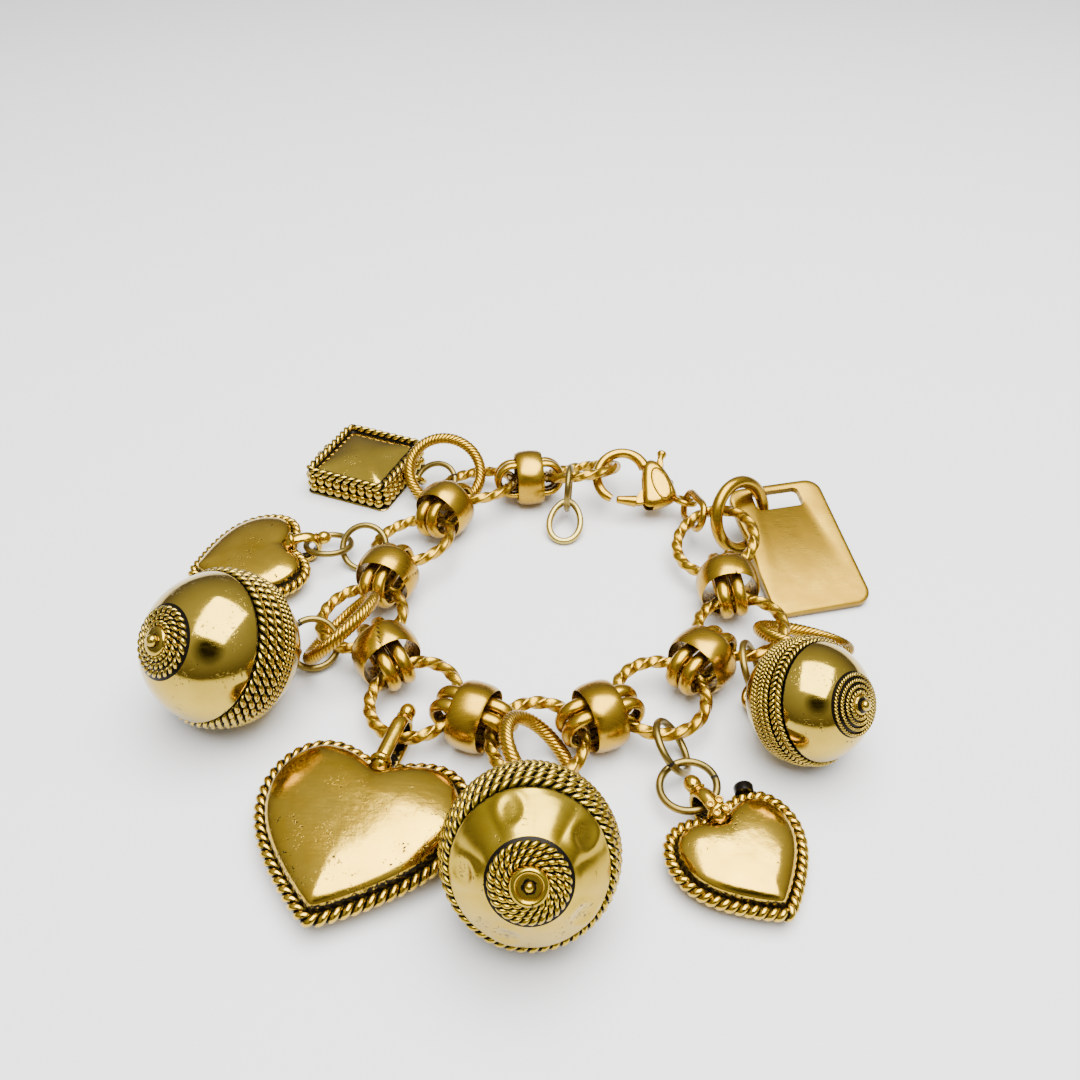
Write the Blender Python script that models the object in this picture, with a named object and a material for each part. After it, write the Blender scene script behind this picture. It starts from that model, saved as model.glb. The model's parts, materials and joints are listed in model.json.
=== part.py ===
"""A charm bracelet lying in a loop on a table: metres, +Z up, resting on z = 0.

Nine twisted rings and eight connectors make the chain. Each connector is a pair of oval loops
wrapped at the waist by a barrel band. A lobster clasp closes the loop and nine charms hang on it.
"""
import math

import bmesh
import bpy
from mathutils import Matrix, Vector

MM = 0.001
UP = Vector((0, 0, 1))

# Air left between pieces that touch on the real bracelet
AIR = 0.22 * MM

# Twisted ring: square wire turned on itself
RING_RADIUS = 6.35 * MM
RING_WIRE = 1.5 * MM
RING_TWISTS = 4
RING_STEPS = 36
RING_REACH = RING_WIRE / 2 * math.sqrt(2)

# Oval loop of a connector, of half-round wire
LOOP_WIRE_WIDTH = 2.05 * MM
LOOP_WIRE_DEPTH = 1.25 * MM
LOOP_HEIGHT = 6.6 * MM
LOOP_GAP = 0.25 * MM
LOOP_END_POINTS = 5
# From a connector's middle to the wire of each ring it holds
LOOP_REACH = 3.1 * MM

# Barrel band round the waist of a pair of loops
BAND_WALL = 0.6 * MM
BAND_WIDTH = 4.6 * MM
BAND_DOME = 0.25 * MM
BAND_STEPS = 16
BAND_AIR = 0.5 * MM

# Jump rings, cable rings and the thick ring of the tag
JUMP_RADIUS = 3.7 * MM
JUMP_WIRE = 1.05 * MM
CABLE_RADIUS = 6.4 * MM
CABLE_WIRE = 1.9 * MM
THICK_RADIUS = 5.6 * MM
THICK_WIRE = 2.1 * MM
ROUND_STEPS = 14
CABLE_STEPS = 16

# Ball charms
LEFT_BALL_RADIUS = 10.7 * MM
FRONT_BALL_RADIUS = 10.1 * MM
SMALL_BALL_RADIUS = 8.3 * MM
BALL_STEPS = 18
ROPE_RELIEF = 0.4 * MM
ROSETTE_ANGLE = math.radians(27)
ROPE_START = math.radians(76)
ROPE_END = math.radians(110)
KNOB_RADIUS = 0.8 * MM
WASHER_RADIUS = 1.8 * MM
EYE_RADIUS = 1.75 * MM
EYE_WIRE = 1.1 * MM
EYE_NECK = 1.5 * MM

# Heart charms
LARGE_HEART_WIDTH = 28.2 * MM
LEFT_HEART_WIDTH = 21.1 * MM
RIGHT_HEART_WIDTH = 18.5 * MM
HEART_STRETCH = 1.1
# The outline is a known heart curve, 32 units wide, with fuller sides and a shallower notch
HEART_UNITS = 32
HEART_FLANK = 1.7
HEART_RIPPLE = 0.6
HEART_POINTS = 26
ROPE_WIRE = 1.5 * MM
LARGE_HEART_DOME = 3.4 * MM
SMALL_HEART_DOME = 2.7 * MM
BAIL_WIDTH = 2.1 * MM
BAIL_WALL = 0.9 * MM
LARGE_BAIL_LENGTH = 10.2 * MM
SMALL_BAIL_LENGTH = 6.2 * MM
# How far the bail's near end sinks below the notch
BAIL_SINK = 1.6 * MM
BAIL_HEIGHT = 5.2 * MM
BAIL_BALL_RADIUS = 1.15 * MM

# Square pillow charm
SQUARE_SIDE = 17.0 * MM
SQUARE_HEIGHT = 5.6 * MM
SQUARE_CORNER = 1.6 * MM

# Plate tag
TAG_WIDTH = 16.5 * MM
TAG_LENGTH = 25.5 * MM
TAG_THICKNESS = 1.5 * MM
TAG_CORNER = 2.5 * MM
TAG_SLOT_LENGTH = 8.4 * MM
TAG_SLOT_WIDTH = 3.8 * MM
TAG_SLOT_EDGE = 1.3 * MM
TAG_SLOT_CORNER = 0.76 * MM

# Lobster clasp, drawn in its own plane: the middle of the hook's opening is 0, 0 and the tail is at +x
HOOK_RADIUS_X = 4.3 * MM
HOOK_RADIUS_Y = 4.7 * MM
HOOK_WIRE = 1.9 * MM
HOOK_START = math.radians(38)
HOOK_END = math.radians(262)
HOOK_STEPS = 11
HOOK_TIP_SHARE = 0.78
CLASP_THICKNESS = 3.2 * MM
CLASP_PLACE = Vector((14.5, 10.2, 6.1)) * MM
CLASP_FACE = Vector((0.0, -0.45, 0.89))
CLASP_ALONG = Vector((0.95, -0.33, 0.03))
TAIL_EYE_RADIUS = 1.65 * MM
LEVER_THICKNESS = 1.1 * MM
LEVER_PIN = 0.55 * MM
LEVER_THUMB = 0.95 * MM
TAIL_LINK_WIDTH = 5.7 * MM
TAIL_LINK_WIRE = 1.2 * MM

# Small open drop
DROP_LENGTH = 8.0 * MM
DROP_WIDTH = 6.0 * MM
DROP_WIRE = 1.1 * MM
DROP_BEARING = 262
DROP_RING_FALL = 70

# Outlines of the clasp in its own plane, in millimetres
CLASP_POINTS = ((2.9, 3.6), (4.6, 4.9), (7.6, 2.9), (9.8, 0.0), (10.5, -1.4), (9.6, -2.8), (7.3, -4.6),
                (5.2, -5.2), (4.2, -2.2), (3.4, 0.8))
ROOM_POINTS = ((2.6, -6.2), (6.4, -6.2), (7.9, -1.4), (8.0, 0.4), (10.9, 3.2), (10.4, 8.0), (4.7, 8.0), (5.0, 1.2),
               (4.6, 0.6), (2.6, 0.2))
LEVER_POINTS = ((3.4, -4.9), (5.2, -4.3), (7.4, -1.2), (7.3, 0.8), (6.3, 5.6), (5.2, 5.6), (5.4, 1.6), (5.2, 0.2),
                (3.4, -3.0))

# Route of the chain: centre of each twisted ring, and how far its axis leans along x and y
CHAIN_ROUTE = (
    # x, y, z in millimetres, lean x, lean y
    (28.7, -7.2, 5.8, -0.34, -0.2),
    (30.1, -26.0, 4.9, -0.12, 0.05),
    (16.9, -39.5, 4.5, 0.0, -0.06),
    (-0.3, -47.0, 4.4, 0.0, -0.04),
    (-17.6, -39.6, 4.2, -0.12, -0.12),
    (-27.1, -23.4, 4.3, -0.12, -0.03),
    (-21.1, -5.6, 4.5, -0.2, 0.12),
    (-11.2, 10.3, 4.1, -0.12, 0.26),
    (7.4, 13.1, 5.1, -0.17, 0.55),
)

CLASP_OUTLINE = [Vector((x, y, 0)) * MM for x, y in CLASP_POINTS]
LEVER_ROOM = [Vector((x, y, 0)) * MM for x, y in ROOM_POINTS]
LEVER_OUTLINE = [Vector((x, y, 0)) * MM for x, y in LEVER_POINTS]
LEVER_AXIS = Vector((6.25, -0.4, 0)) * MM
LEVER_GATE = (Vector((0.25, -4.6, 0)) * MM, Vector((3.6, -4.0, 0)) * MM)
LEVER_THUMB_PLACE = Vector((5.75, 6.0, 0)) * MM
CLASP_TAIL = Vector((11.9, -1.5, 0)) * MM


def clear_scene():
    for old in list(bpy.data.objects):
        bpy.data.objects.remove(old)


def metal(name, colour, roughness):
    """A plain metal."""
    made = bpy.data.materials.new(name)
    made.use_nodes = True
    shader = made.node_tree.nodes["Principled BSDF"]
    shader.inputs["Base Color"].default_value = (*colour, 1.0)
    shader.inputs["Metallic"].default_value = 1.0
    shader.inputs["Roughness"].default_value = roughness
    made.diffuse_color = (*colour, 1.0)
    return made


def placement(origin, z_axis, x_axis):
    """A matrix at origin, with z along z_axis and x as near x_axis as it can be."""
    z = Vector(z_axis).normalized()
    x = Vector(x_axis)
    x = (x - z * x.dot(z)).normalized()
    turn = Matrix((x, z.cross(x), z)).transposed()
    return Matrix.Translation(origin) @ turn.to_4x4()


def place(name, data, material, matrix, root):
    """Puts a shape into the scene under the bracelet's empty."""
    data.materials.clear()
    data.materials.append(material)
    thing = bpy.data.objects.new(name, data)
    bpy.context.scene.collection.objects.link(thing)
    thing.parent = root
    thing.matrix_world = matrix
    return thing


def mesh_from(build, name, smooth=60):
    """A mesh whose faces point outward, from a function that fills a bmesh."""
    work = bmesh.new()
    build(work)
    bmesh.ops.recalc_face_normals(work, faces=work.faces)
    data = bpy.data.meshes.new(name)
    work.to_mesh(data)
    work.free()
    data.shade_smooth()
    data.set_sharp_from_angle(angle=math.radians(smooth))
    return data


def loft(work, rows, start=None, end=None):
    """Joins rows of points into a skin; a row is closed, and start and end are tips or None."""
    loops = [[work.verts.new(point) for point in row] for row in rows]
    for lower, upper in zip(loops, loops[1:]):
        for i in range(len(lower)):
            j = (i + 1) % len(lower)
            work.faces.new((lower[i], lower[j], upper[j], upper[i]))
    for row, tip in ((loops[0], start), (loops[-1], end)):
        if tip is None:
            work.faces.new(row)
        else:
            peak = work.verts.new(tip)
            for i in range(len(row)):
                work.faces.new((row[i], row[(i + 1) % len(row)], peak))


def turned(work, profile, steps):
    """Turns a profile of (radius, z) points about z; it starts and ends on the axis."""
    angles = [2 * math.pi * i / steps for i in range(steps)]
    rows = [[Vector((r * math.cos(a), r * math.sin(a), z)) for a in angles] for r, z in profile[1:-1]]
    loft(work, rows, Vector((0, 0, profile[0][1])), Vector((0, 0, profile[-1][1])))


def swept_ring(work, path, across, section, twist=0.0):
    """Sweeps a closed section round a closed flat path; across is the path plane's normal."""
    count = len(path)
    rows = []
    for i, point in enumerate(path):
        along = (path[(i + 1) % count] - path[i - 1]).normalized()
        outward = along.cross(across)
        turn = twist * i / count
        cos, sin = math.cos(turn), math.sin(turn)
        rows.append([point + outward * (u * cos - v * sin) + across * (u * sin + v * cos) for u, v in section])
    loops = [[work.verts.new(p) for p in row] for row in rows]
    for i in range(count):
        here, there = loops[i], loops[(i + 1) % count]
        for j in range(len(section)):
            k = (j + 1) % len(section)
            work.faces.new((here[j], here[k], there[k], there[j]))


def circle_points(radius, count):
    angles = [2 * math.pi * i / count for i in range(count)]
    return [Vector((radius * math.cos(a), radius * math.sin(a), 0)) for a in angles]


def round_section(wire, sides=6):
    """A section that is as wide as the wire across its flats."""
    reach = wire / 2
    return [(reach * math.cos(a), reach * math.sin(a)) for a in (2 * math.pi * i / sides for i in range(sides))]


def plain_ring(name, radius, wire, steps):
    """A ring of round wire in the xy plane."""
    path = circle_points(radius, steps)
    return mesh_from(lambda work: swept_ring(work, path, UP, round_section(wire)), name)


def twisted_ring():
    """A ring of square wire, twisted a whole number of times on its way round."""
    half = RING_WIRE / 2
    square = [(half, half), (-half, half), (-half, -half), (half, -half)]
    path = circle_points(RING_RADIUS, RING_STEPS)
    twist = 2 * math.pi * RING_TWISTS
    return mesh_from(lambda work: swept_ring(work, path, UP, square, twist), "twisted_ring", 30)


def stadium(length, height, end_points):
    """An oval path in the xz plane: two half circles joined by straights."""
    radius = height / 2
    middle = length / 2 - radius
    points = []
    for side in (1, -1):
        for i in range(end_points):
            angle = math.pi * ((i + 0.5) / end_points - 0.5)
            out = middle + radius * math.cos(angle)
            points.append(Vector((side * out, 0, side * radius * math.sin(angle))))
    return points


def loop_length():
    """Outer length of a connector's loop, so that a ring's inner curve clears both loops."""
    pair = LOOP_WIRE_WIDTH + LOOP_GAP / 2
    inner = RING_RADIUS - RING_REACH
    bulge = inner - math.sqrt(inner * inner - pair * pair)
    return 2 * (LOOP_REACH + RING_REACH + bulge + 1.5 * AIR + LOOP_WIRE_DEPTH)


def link_loop():
    """One oval loop, in its own xz plane, half-round outside and flat inside."""
    half, deep = LOOP_WIRE_WIDTH / 2, LOOP_WIRE_DEPTH / 2
    section = [(-deep, half), (-deep, -half), (deep * 0.2, -half), (deep, -half * 0.5), (deep, half * 0.5),
               (deep * 0.2, half)]
    path = stadium(loop_length() - LOOP_WIRE_DEPTH, LOOP_HEIGHT - LOOP_WIRE_DEPTH, LOOP_END_POINTS)
    return mesh_from(lambda work: swept_ring(work, path, Vector((0, -1, 0)), section), "link_loop", 40)


def band_radius():
    """Outer radius of the barrel band, which clears the pair of loops inside it."""
    corner = math.hypot(LOOP_HEIGHT / 2, LOOP_WIRE_WIDTH * 0.75 + LOOP_GAP / 2)
    return (corner + BAND_AIR) / math.cos(math.pi / BAND_STEPS) + BAND_WALL


def barrel_band():
    """A short domed tube about x."""
    outer = band_radius()
    inner = outer - BAND_WALL
    half = BAND_WIDTH / 2
    profile = [(inner, -half), (inner, half), (outer - BAND_DOME, half), (outer, half * 0.5), (outer, -half * 0.5),
               (outer - BAND_DOME, -half)]

    def build(work):
        rows = []
        for i in range(BAND_STEPS):
            angle = 2 * math.pi * (i + 0.5) / BAND_STEPS
            rows.append([work.verts.new((x, r * math.cos(angle), r * math.sin(angle))) for r, x in profile])
        for i in range(BAND_STEPS):
            here, there = rows[i], rows[(i + 1) % BAND_STEPS]
            for j in range(len(profile)):
                k = (j + 1) % len(profile)
                work.faces.new((here[j], here[k], there[k], there[j]))

    return mesh_from(build, "barrel_band", 40)


def unite(base, tool):
    """Joins a second shape to the base as one solid."""
    step = base.modifiers.new("join " + tool.name, "BOOLEAN")
    step.operation = "UNION"
    step.solver = "EXACT"
    step.object = tool
    hide_tool(tool)


def cut(base, tool):
    """Cuts a shape out of the base."""
    step = base.modifiers.new("cut " + tool.name, "BOOLEAN")
    step.operation = "DIFFERENCE"
    step.solver = "EXACT"
    step.object = tool
    hide_tool(tool)


def hide_tool(tool):
    tool.hide_render = True
    tool.display_type = "WIRE"


def ball_profile(radius):
    """Half section of a ball charm from its knob to the pole with the eye."""
    raised = radius + ROPE_RELIEF
    step = math.radians(1)
    profile = [(0, radius + 1.3 * MM), (KNOB_RADIUS * 0.75, radius + 1.05 * MM), (KNOB_RADIUS, radius + 0.5 * MM),
               (WASHER_RADIUS, radius + 0.35 * MM)]
    shell = [(math.radians(11), radius), (math.radians(13), raised), (ROSETTE_ANGLE, raised),
             (ROSETTE_ANGLE + step, radius), (math.radians(44), radius), (math.radians(60), radius),
             (ROPE_START, radius), (ROPE_START + step, raised), ((ROPE_START + ROPE_END) / 2, raised),
             (ROPE_END, raised), (ROPE_END + step, radius), (math.radians(128), radius),
             (math.radians(146), radius), (math.radians(163), radius)]
    profile += [(r * math.sin(a), r * math.cos(a)) for a, r in shell]
    return profile + [(0, -radius)]


def ball_charm(name, radius, material, matrix, root):
    """A ball with a knob and rosette on one pole, a rope girdle, and an eye on the other pole."""
    data = mesh_from(lambda work: turned(work, ball_profile(radius), BALL_STEPS), name, 30)
    ball = place(name, data, material, matrix, root)
    ring = plain_ring(name + "_eye", EYE_RADIUS, EYE_WIRE, 10)
    at = placement((0, 0, -(radius + EYE_NECK)), (0, 1, 0), (0, 0, 1))
    unite(ball, place(name + "_eye", ring, material, matrix @ at, root))
    return ball


def heart_outline(width, inset=0.0):
    """A heart in the xy plane with its tip at -y and its notch at +y, set in by a distance."""
    unit = width / HEART_UNITS
    points = []
    for i in range(HEART_POINTS):
        t = 2 * math.pi * i / HEART_POINTS
        x = math.copysign(abs(math.sin(t)) ** HEART_FLANK, math.sin(t)) * HEART_UNITS / 2
        ripple = 5 * math.cos(2 * t) + 2 * math.cos(3 * t) + math.cos(4 * t)
        y = 13 * math.cos(t) - HEART_RIPPLE * ripple
        points.append(Vector((x * unit, y * unit * HEART_STRETCH, 0)))
    if inset:
        share = 1 - 2 * inset / width
        middle = Vector((0, -1.5 * unit, 0))
        points = [middle + (p - middle) * share for p in points]
    return points


def heart_shell(width, dome):
    """Rows of a puffed heart from back to front: rope edge, groove and dome on each side."""
    rope = ROPE_WIRE / 2
    front = [(0.0, 0.35 * ROPE_WIRE), (0.25 * ROPE_WIRE, rope), (0.9 * ROPE_WIRE, 0.8 * rope),
             (1.15 * ROPE_WIRE, 0.45 * dome), (0.14 * width, 0.78 * dome), (0.26 * width, 0.97 * dome)]
    rows = [(inset, -z) for inset, z in reversed(front)] + front
    return [[p + UP * z for p in heart_outline(width, inset)] for inset, z in rows]


def notch_y(width):
    return (13 - 8 * HEART_RIPPLE) * width / HEART_UNITS * HEART_STRETCH


def bail_middle(width, length):
    """Middle of the bail's loop on the heart's axis."""
    return notch_y(width) + length / 2 - BAIL_SINK


def heart_charm(name, width, dome, bail_length, material, matrix, root):
    """A puffed heart with a strap bail that ends in a small ball."""
    tip = UP * dome
    crown = Vector((0, -width / 20, 0))

    def shell(work):
        loft(work, heart_shell(width, dome), crown - tip, crown + tip)

    heart = place(name, mesh_from(shell, name, 50), material, matrix, root)
    half, wall = BAIL_WIDTH / 2, BAIL_WALL / 2
    strap = [(-wall, half), (-wall, -half), (wall, -half), (wall, half)]
    path = [Vector((0, p.x, p.z)) for p in stadium(bail_length - BAIL_WALL, BAIL_HEIGHT - BAIL_WALL, 4)]
    bail = mesh_from(lambda work: swept_ring(work, path, Vector((1, 0, 0)), strap), name + "_bail", 40)
    at = Matrix.Translation((0, bail_middle(width, bail_length), 0))
    unite(heart, place(name + "_bail", bail, material, matrix @ at, root))

    def knob(work):
        bmesh.ops.create_uvsphere(work, u_segments=8, v_segments=6, radius=BAIL_BALL_RADIUS)

    far = bail_middle(width, bail_length) + bail_length / 2 + BAIL_BALL_RADIUS * 0.55
    end = matrix @ Matrix.Translation((0, far, BAIL_HEIGHT * 0.2))
    unite(heart, place(name + "_bail_end", mesh_from(knob, name + "_bail_end"), material, end, root))
    return heart


def bail_hold(width, length, wire):
    """Where the held wire's middle lies inside a heart's bail, on the heart's axis."""
    return bail_middle(width, length) + length / 2 - BAIL_WALL - 4.5 * AIR - wire / 2


def rounded_square(side, corner, inset):
    """A square with cut corners, set in by a distance."""
    half = side / 2 - inset
    cut_back = max(corner - inset * 0.5, 0.3 * MM)
    points = []
    for turn in range(4):
        spin = Matrix.Rotation(turn * math.pi / 2, 3, "Z")
        for x, y in ((half, -half + cut_back), (half, 0), (half, half - cut_back), (half - cut_back, half)):
            points.append(spin @ Vector((x, y, 0)))
    return points


def square_charm(name, material, matrix, root):
    """A thick square: two tiers on the sides, a rope edge and a pillow on top, and a side eye."""
    levels = [(0.8, 0.0), (0.3, 0.08), (0.0, 0.24), (0.55, 0.42), (0.0, 0.6), (0.5, 0.76), (0.2, 0.84), (0.9, 0.92),
              (1.7, 0.82), (2.4, 0.9), (4.2, 0.99)]
    rows = []
    for inset, share in levels:
        line = rounded_square(SQUARE_SIDE, SQUARE_CORNER, inset * MM)
        rows.append([p + UP * (share * SQUARE_HEIGHT) for p in line])
    data = mesh_from(lambda work: loft(work, rows, None, UP * SQUARE_HEIGHT), name, 40)
    charm = place(name, data, material, matrix, root)
    ring = plain_ring(name + "_eye", EYE_RADIUS, EYE_WIRE, 10)
    eye_place = (SQUARE_SIDE / 2 + EYE_RADIUS - 0.2 * MM, 0, SQUARE_HEIGHT * 0.45)
    at = placement(eye_place, (0, 0.75, 0.65), (1, 0, 0))
    unite(charm, place(name + "_eye", ring, material, matrix @ at, root))
    return charm


def tag_plate(name, material, matrix, root):
    """A flat plate with rounded corners and a slot near one short edge; the slot end is +y."""

    def outline(width, length, corner, count=4):
        points = []
        for cx, cy, start in ((1, 1, 0), (-1, 1, 90), (-1, -1, 180), (1, -1, 270)):
            for i in range(count):
                angle = math.radians(start + 90 * i / (count - 1))
                points.append(Vector((cx * (width / 2 - corner) + corner * math.cos(angle),
                                      cy * (length / 2 - corner) + corner * math.sin(angle), 0)))
        return points

    def plate(work):
        edge = outline(TAG_WIDTH, TAG_LENGTH, TAG_CORNER)
        loft(work, [[p - UP * TAG_THICKNESS / 2 for p in edge], [p + UP * TAG_THICKNESS / 2 for p in edge]])

    def slot(work):
        edge = outline(TAG_SLOT_LENGTH, TAG_SLOT_WIDTH, TAG_SLOT_CORNER)
        loft(work, [[p - UP * TAG_THICKNESS for p in edge], [p + UP * TAG_THICKNESS for p in edge]])

    tag = place(name, mesh_from(plate, name, 30), material, matrix, root)
    at = Matrix.Translation((0, TAG_LENGTH / 2 - TAG_SLOT_EDGE - TAG_SLOT_WIDTH / 2, 0))
    cut(tag, place(name + "_slot", mesh_from(slot, name + "_slot"), material, matrix @ at, root))
    return tag


def drop_charm(name, material, matrix, root):
    """A small open teardrop of round wire in the xy plane, with its point at +y."""
    path = []
    for i in range(14):
        t = 2 * math.pi * i / 14
        bend = 0.6 + 0.4 * math.sin(t / 2)
        path.append(Vector((DROP_WIDTH / 2 * math.sin(t) * bend, DROP_LENGTH / 2 * math.cos(t), 0)))
    data = mesh_from(lambda work: swept_ring(work, path, -UP, round_section(DROP_WIRE)), name)
    return place(name, data, material, matrix, root)


class Ring:
    """A ring laid in space: its middle, its axis, its radius and the reach of its wire."""

    def __init__(self, centre, axis, radius, reach):
        self.centre = Vector(centre)
        self.axis = Vector(axis).normalized()
        self.radius = radius
        self.reach = reach

    def toward(self, target):
        """The point on the wire's middle line nearest to a target."""
        away = Vector(target) - self.centre
        away -= self.axis * away.dot(self.axis)
        return self.centre + away.normalized() * self.radius

    def at_bearing(self, degrees):
        angle = math.radians(degrees)
        return self.toward(self.centre + Vector((math.cos(angle), math.sin(angle), 0)))

    def matrix(self):
        return placement(self.centre, self.axis, (1, 0, 0))


def ring_between(start, start_reach, end, end_reach, face, radius=JUMP_RADIUS, wire=JUMP_WIRE):
    """A ring that passes round two wires; face is roughly where its axis points."""
    along = (end - start).normalized()
    hole = radius - wire / 2 - AIR
    slack = 2 * hole - start_reach - end_reach - (end - start).length
    centre = start + along * (hole - start_reach - slack / 2)
    axis = Vector(face) - along * Vector(face).dot(along)
    return Ring(centre, axis, radius, wire / 2)


def ring_span(start_reach, end_reach, radius=JUMP_RADIUS, wire=JUMP_WIRE):
    """How far apart two wires lie when the ring between them is pulled straight."""
    return 2 * (radius - wire / 2 - AIR) - start_reach - end_reach


def heading(degrees, fall=0.0):
    """A direction along a compass bearing, going down by an angle."""
    turn, down = math.radians(degrees), math.radians(fall)
    return Vector((math.cos(turn) * math.cos(down), math.sin(turn) * math.cos(down), -math.sin(down)))


def settle(pieces):
    """Moves pieces up or down together until the lowest of their points lies on the table."""
    lowest = min((thing.matrix_world @ vertex.co).z for thing in pieces for vertex in thing.data.vertices)
    for thing in pieces:
        thing.matrix_world = Matrix.Translation((0, 0, -lowest)) @ thing.matrix_world


def lay_ring(name, ring, wire, steps, material, root):
    return place(name, plain_ring(name, ring.radius, wire, steps), material, ring.matrix(), root)


def build_chain(gold, root):
    """The nine rings, and between each two of them a band round a pair of loops."""
    rings = []
    ring_mesh = twisted_ring()
    for i, (x, y, z, lean_x, lean_y) in enumerate(CHAIN_ROUTE):
        ring = Ring(Vector((x, y, z)) * MM, (lean_x, lean_y, 1), RING_RADIUS, RING_REACH)
        place(f"twisted_ring_{i + 1}", ring_mesh, gold, ring.matrix(), root)
        rings.append(ring)
    loop_mesh = link_loop()
    band_mesh = barrel_band()
    rest = band_radius() * math.cos(math.pi / BAND_STEPS)
    for i, (first, second) in enumerate(zip(rings, rings[1:])):
        start, end = first.toward(second.centre), second.toward(first.centre)
        middle = (start + end) / 2
        middle.z = rest
        along = end - start
        along.z = 0
        side = (first.axis + second.axis).cross(along)
        matrix = placement(middle, along.cross(side), along)
        band = place(f"barrel_band_{i + 1}", band_mesh, gold, matrix, root)
        pair = [band]
        for letter, side_step in (("a", 1), ("b", -1)):
            shift = Matrix.Translation((0, side_step * (LOOP_WIRE_WIDTH + LOOP_GAP) / 2, 0))
            pair.append(place(f"link_loop_{i + 1}_{letter}", loop_mesh, gold, matrix @ shift, root))
        settle(pair)
    return rings


def hang_ball(name, radius, ring, bearing, turn, face, eye_height, metals, root):
    """Hangs a ball from a chain ring by a jump ring; it lies on the table with its eye at a height."""
    polished, dull = metals[1:]
    start = ring.at_bearing(bearing)
    span = ring_span(RING_REACH, EYE_WIRE / 2)
    way = heading(bearing, math.degrees(math.asin((start.z - eye_height) / span)))
    held = start + way * span
    jump = ring_between(start, RING_REACH, held, EYE_WIRE / 2, face)
    out = radius + EYE_NECK
    rise = math.asin((radius + ROPE_RELIEF - held.z) / out)
    axis = heading(turn, -math.degrees(rise))
    across = jump.axis.cross(way)
    across = (across - axis * across.dot(axis)).normalized()
    eye = held + (way - across * way.dot(across)).normalized() * EYE_RADIUS
    axis = heading(turn, -math.degrees(math.asin((radius + ROPE_RELIEF - eye.z) / out)))
    across = (across - axis * across.dot(axis)).normalized()
    matrix = placement(eye + axis * out, axis, axis.cross(across))
    ball_charm(name, radius, polished, matrix, root)
    lay_ring(name + "_jump_ring", jump, JUMP_WIRE, ROUND_STEPS, dull, root)


def hang_heart(name, width, dome, bail_length, hold, hold_reach, turn, tilt, metals, root):
    """Lays a heart with its bail over a held wire; tilt lifts its notch end."""
    axis = heading(turn, -tilt)
    across = axis.cross(UP)
    origin = hold - axis * bail_hold(width, bail_length, hold_reach * 2)
    matrix = placement(origin, across.cross(axis), across)
    heart_charm(name, width, dome, bail_length, metals[1], matrix, root)
    settle([bpy.data.objects[name + end] for end in ("", "_bail", "_bail_end")])


def hang_by_two_rings(name, ring, bearing, turns, faces, metals, root):
    """Two jump rings in a row from a chain ring; returns the second, which holds the charm."""
    dull = metals[2]
    start = ring.at_bearing(bearing)
    offset = JUMP_RADIUS - JUMP_WIRE / 2 - AIR - RING_REACH
    first_way = heading(*turns[0])
    axis = Vector(faces[0]) - first_way * Vector(faces[0]).dot(first_way)
    first = Ring(start + first_way * offset, axis, JUMP_RADIUS, JUMP_WIRE / 2)
    way = heading(*turns[1])
    wire = first.toward(first.centre + way)
    axis = Vector(faces[1]) - way * Vector(faces[1]).dot(way)
    offset = JUMP_RADIUS - JUMP_WIRE - AIR
    second = Ring(wire + way * offset, axis, JUMP_RADIUS, JUMP_WIRE / 2)
    lay_ring(name + "_jump_ring_1", first, JUMP_WIRE, ROUND_STEPS, dull, root)
    lay_ring(name + "_jump_ring_2", second, JUMP_WIRE, ROUND_STEPS, dull, root)
    return second


def hang_drop(ring, bearing, root, metals):
    """The small drop: it hangs from the ring's raised edge and leans down to the table."""
    polished, dull = metals[1:]
    start = ring.at_bearing(bearing)
    held = start + heading(DROP_BEARING, DROP_RING_FALL) * ring_span(RING_REACH, DROP_WIRE / 2)
    jump = ring_between(start, RING_REACH, held, DROP_WIRE / 2, (1, -0.1, 0))
    lay_ring("drop_charm_jump_ring", jump, JUMP_WIRE, ROUND_STEPS, dull, root)
    fall = math.degrees(math.asin((held.z - 0.6 * DROP_WIRE) / DROP_LENGTH))
    down = heading(DROP_BEARING, fall)
    across = down.cross(UP).normalized()
    matrix = placement(held + down * DROP_LENGTH / 2, down.cross(across), across)
    drop_charm("drop_charm", polished, matrix, root)


def centre_on_table(root):
    """Moves the whole bracelet so that its bounding box stands centred on the origin."""
    bpy.context.view_layer.update()
    graph = bpy.context.evaluated_depsgraph_get()
    points = []
    for thing in bpy.data.objects:
        if thing.type == "MESH" and not thing.hide_render:
            shape = thing.evaluated_get(graph)
            points += [shape.matrix_world @ vertex.co for vertex in shape.data.vertices]
    low = Vector([min(p[axis] for p in points) for axis in range(3)])
    high = Vector([max(p[axis] for p in points) for axis in range(3)])
    root.location = (-(low.x + high.x) / 2, -(low.y + high.y) / 2, -low.z)
    bpy.context.view_layer.update()


def plate_of(points, thickness):
    """A flat plate of an outline in the xy plane, its middle at z = 0."""

    def build_plate(work):
        loft(work, [[p - UP * thickness / 2 for p in points], [p + UP * thickness / 2 for p in points]])

    return build_plate


def pin(work, radius, length):
    bmesh.ops.create_cone(work, cap_ends=True, segments=10, radius1=radius, radius2=radius, depth=length)


def hook_arc(work):
    """The clasp's hook: an open arc of wire from the body round to the lever's tip."""
    rows = []
    for i in range(HOOK_STEPS + 1):
        angle = HOOK_START + (HOOK_END - HOOK_START) * i / HOOK_STEPS
        out = Vector((math.cos(angle), math.sin(angle), 0))
        point = Vector((HOOK_RADIUS_X * out.x, HOOK_RADIUS_Y * out.y, 0))
        size = HOOK_TIP_SHARE if i == HOOK_STEPS else 1.0
        rows.append([point + (out * u + UP * v) * size for u, v in round_section(HOOK_WIRE)])
    loft(work, rows)


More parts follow.
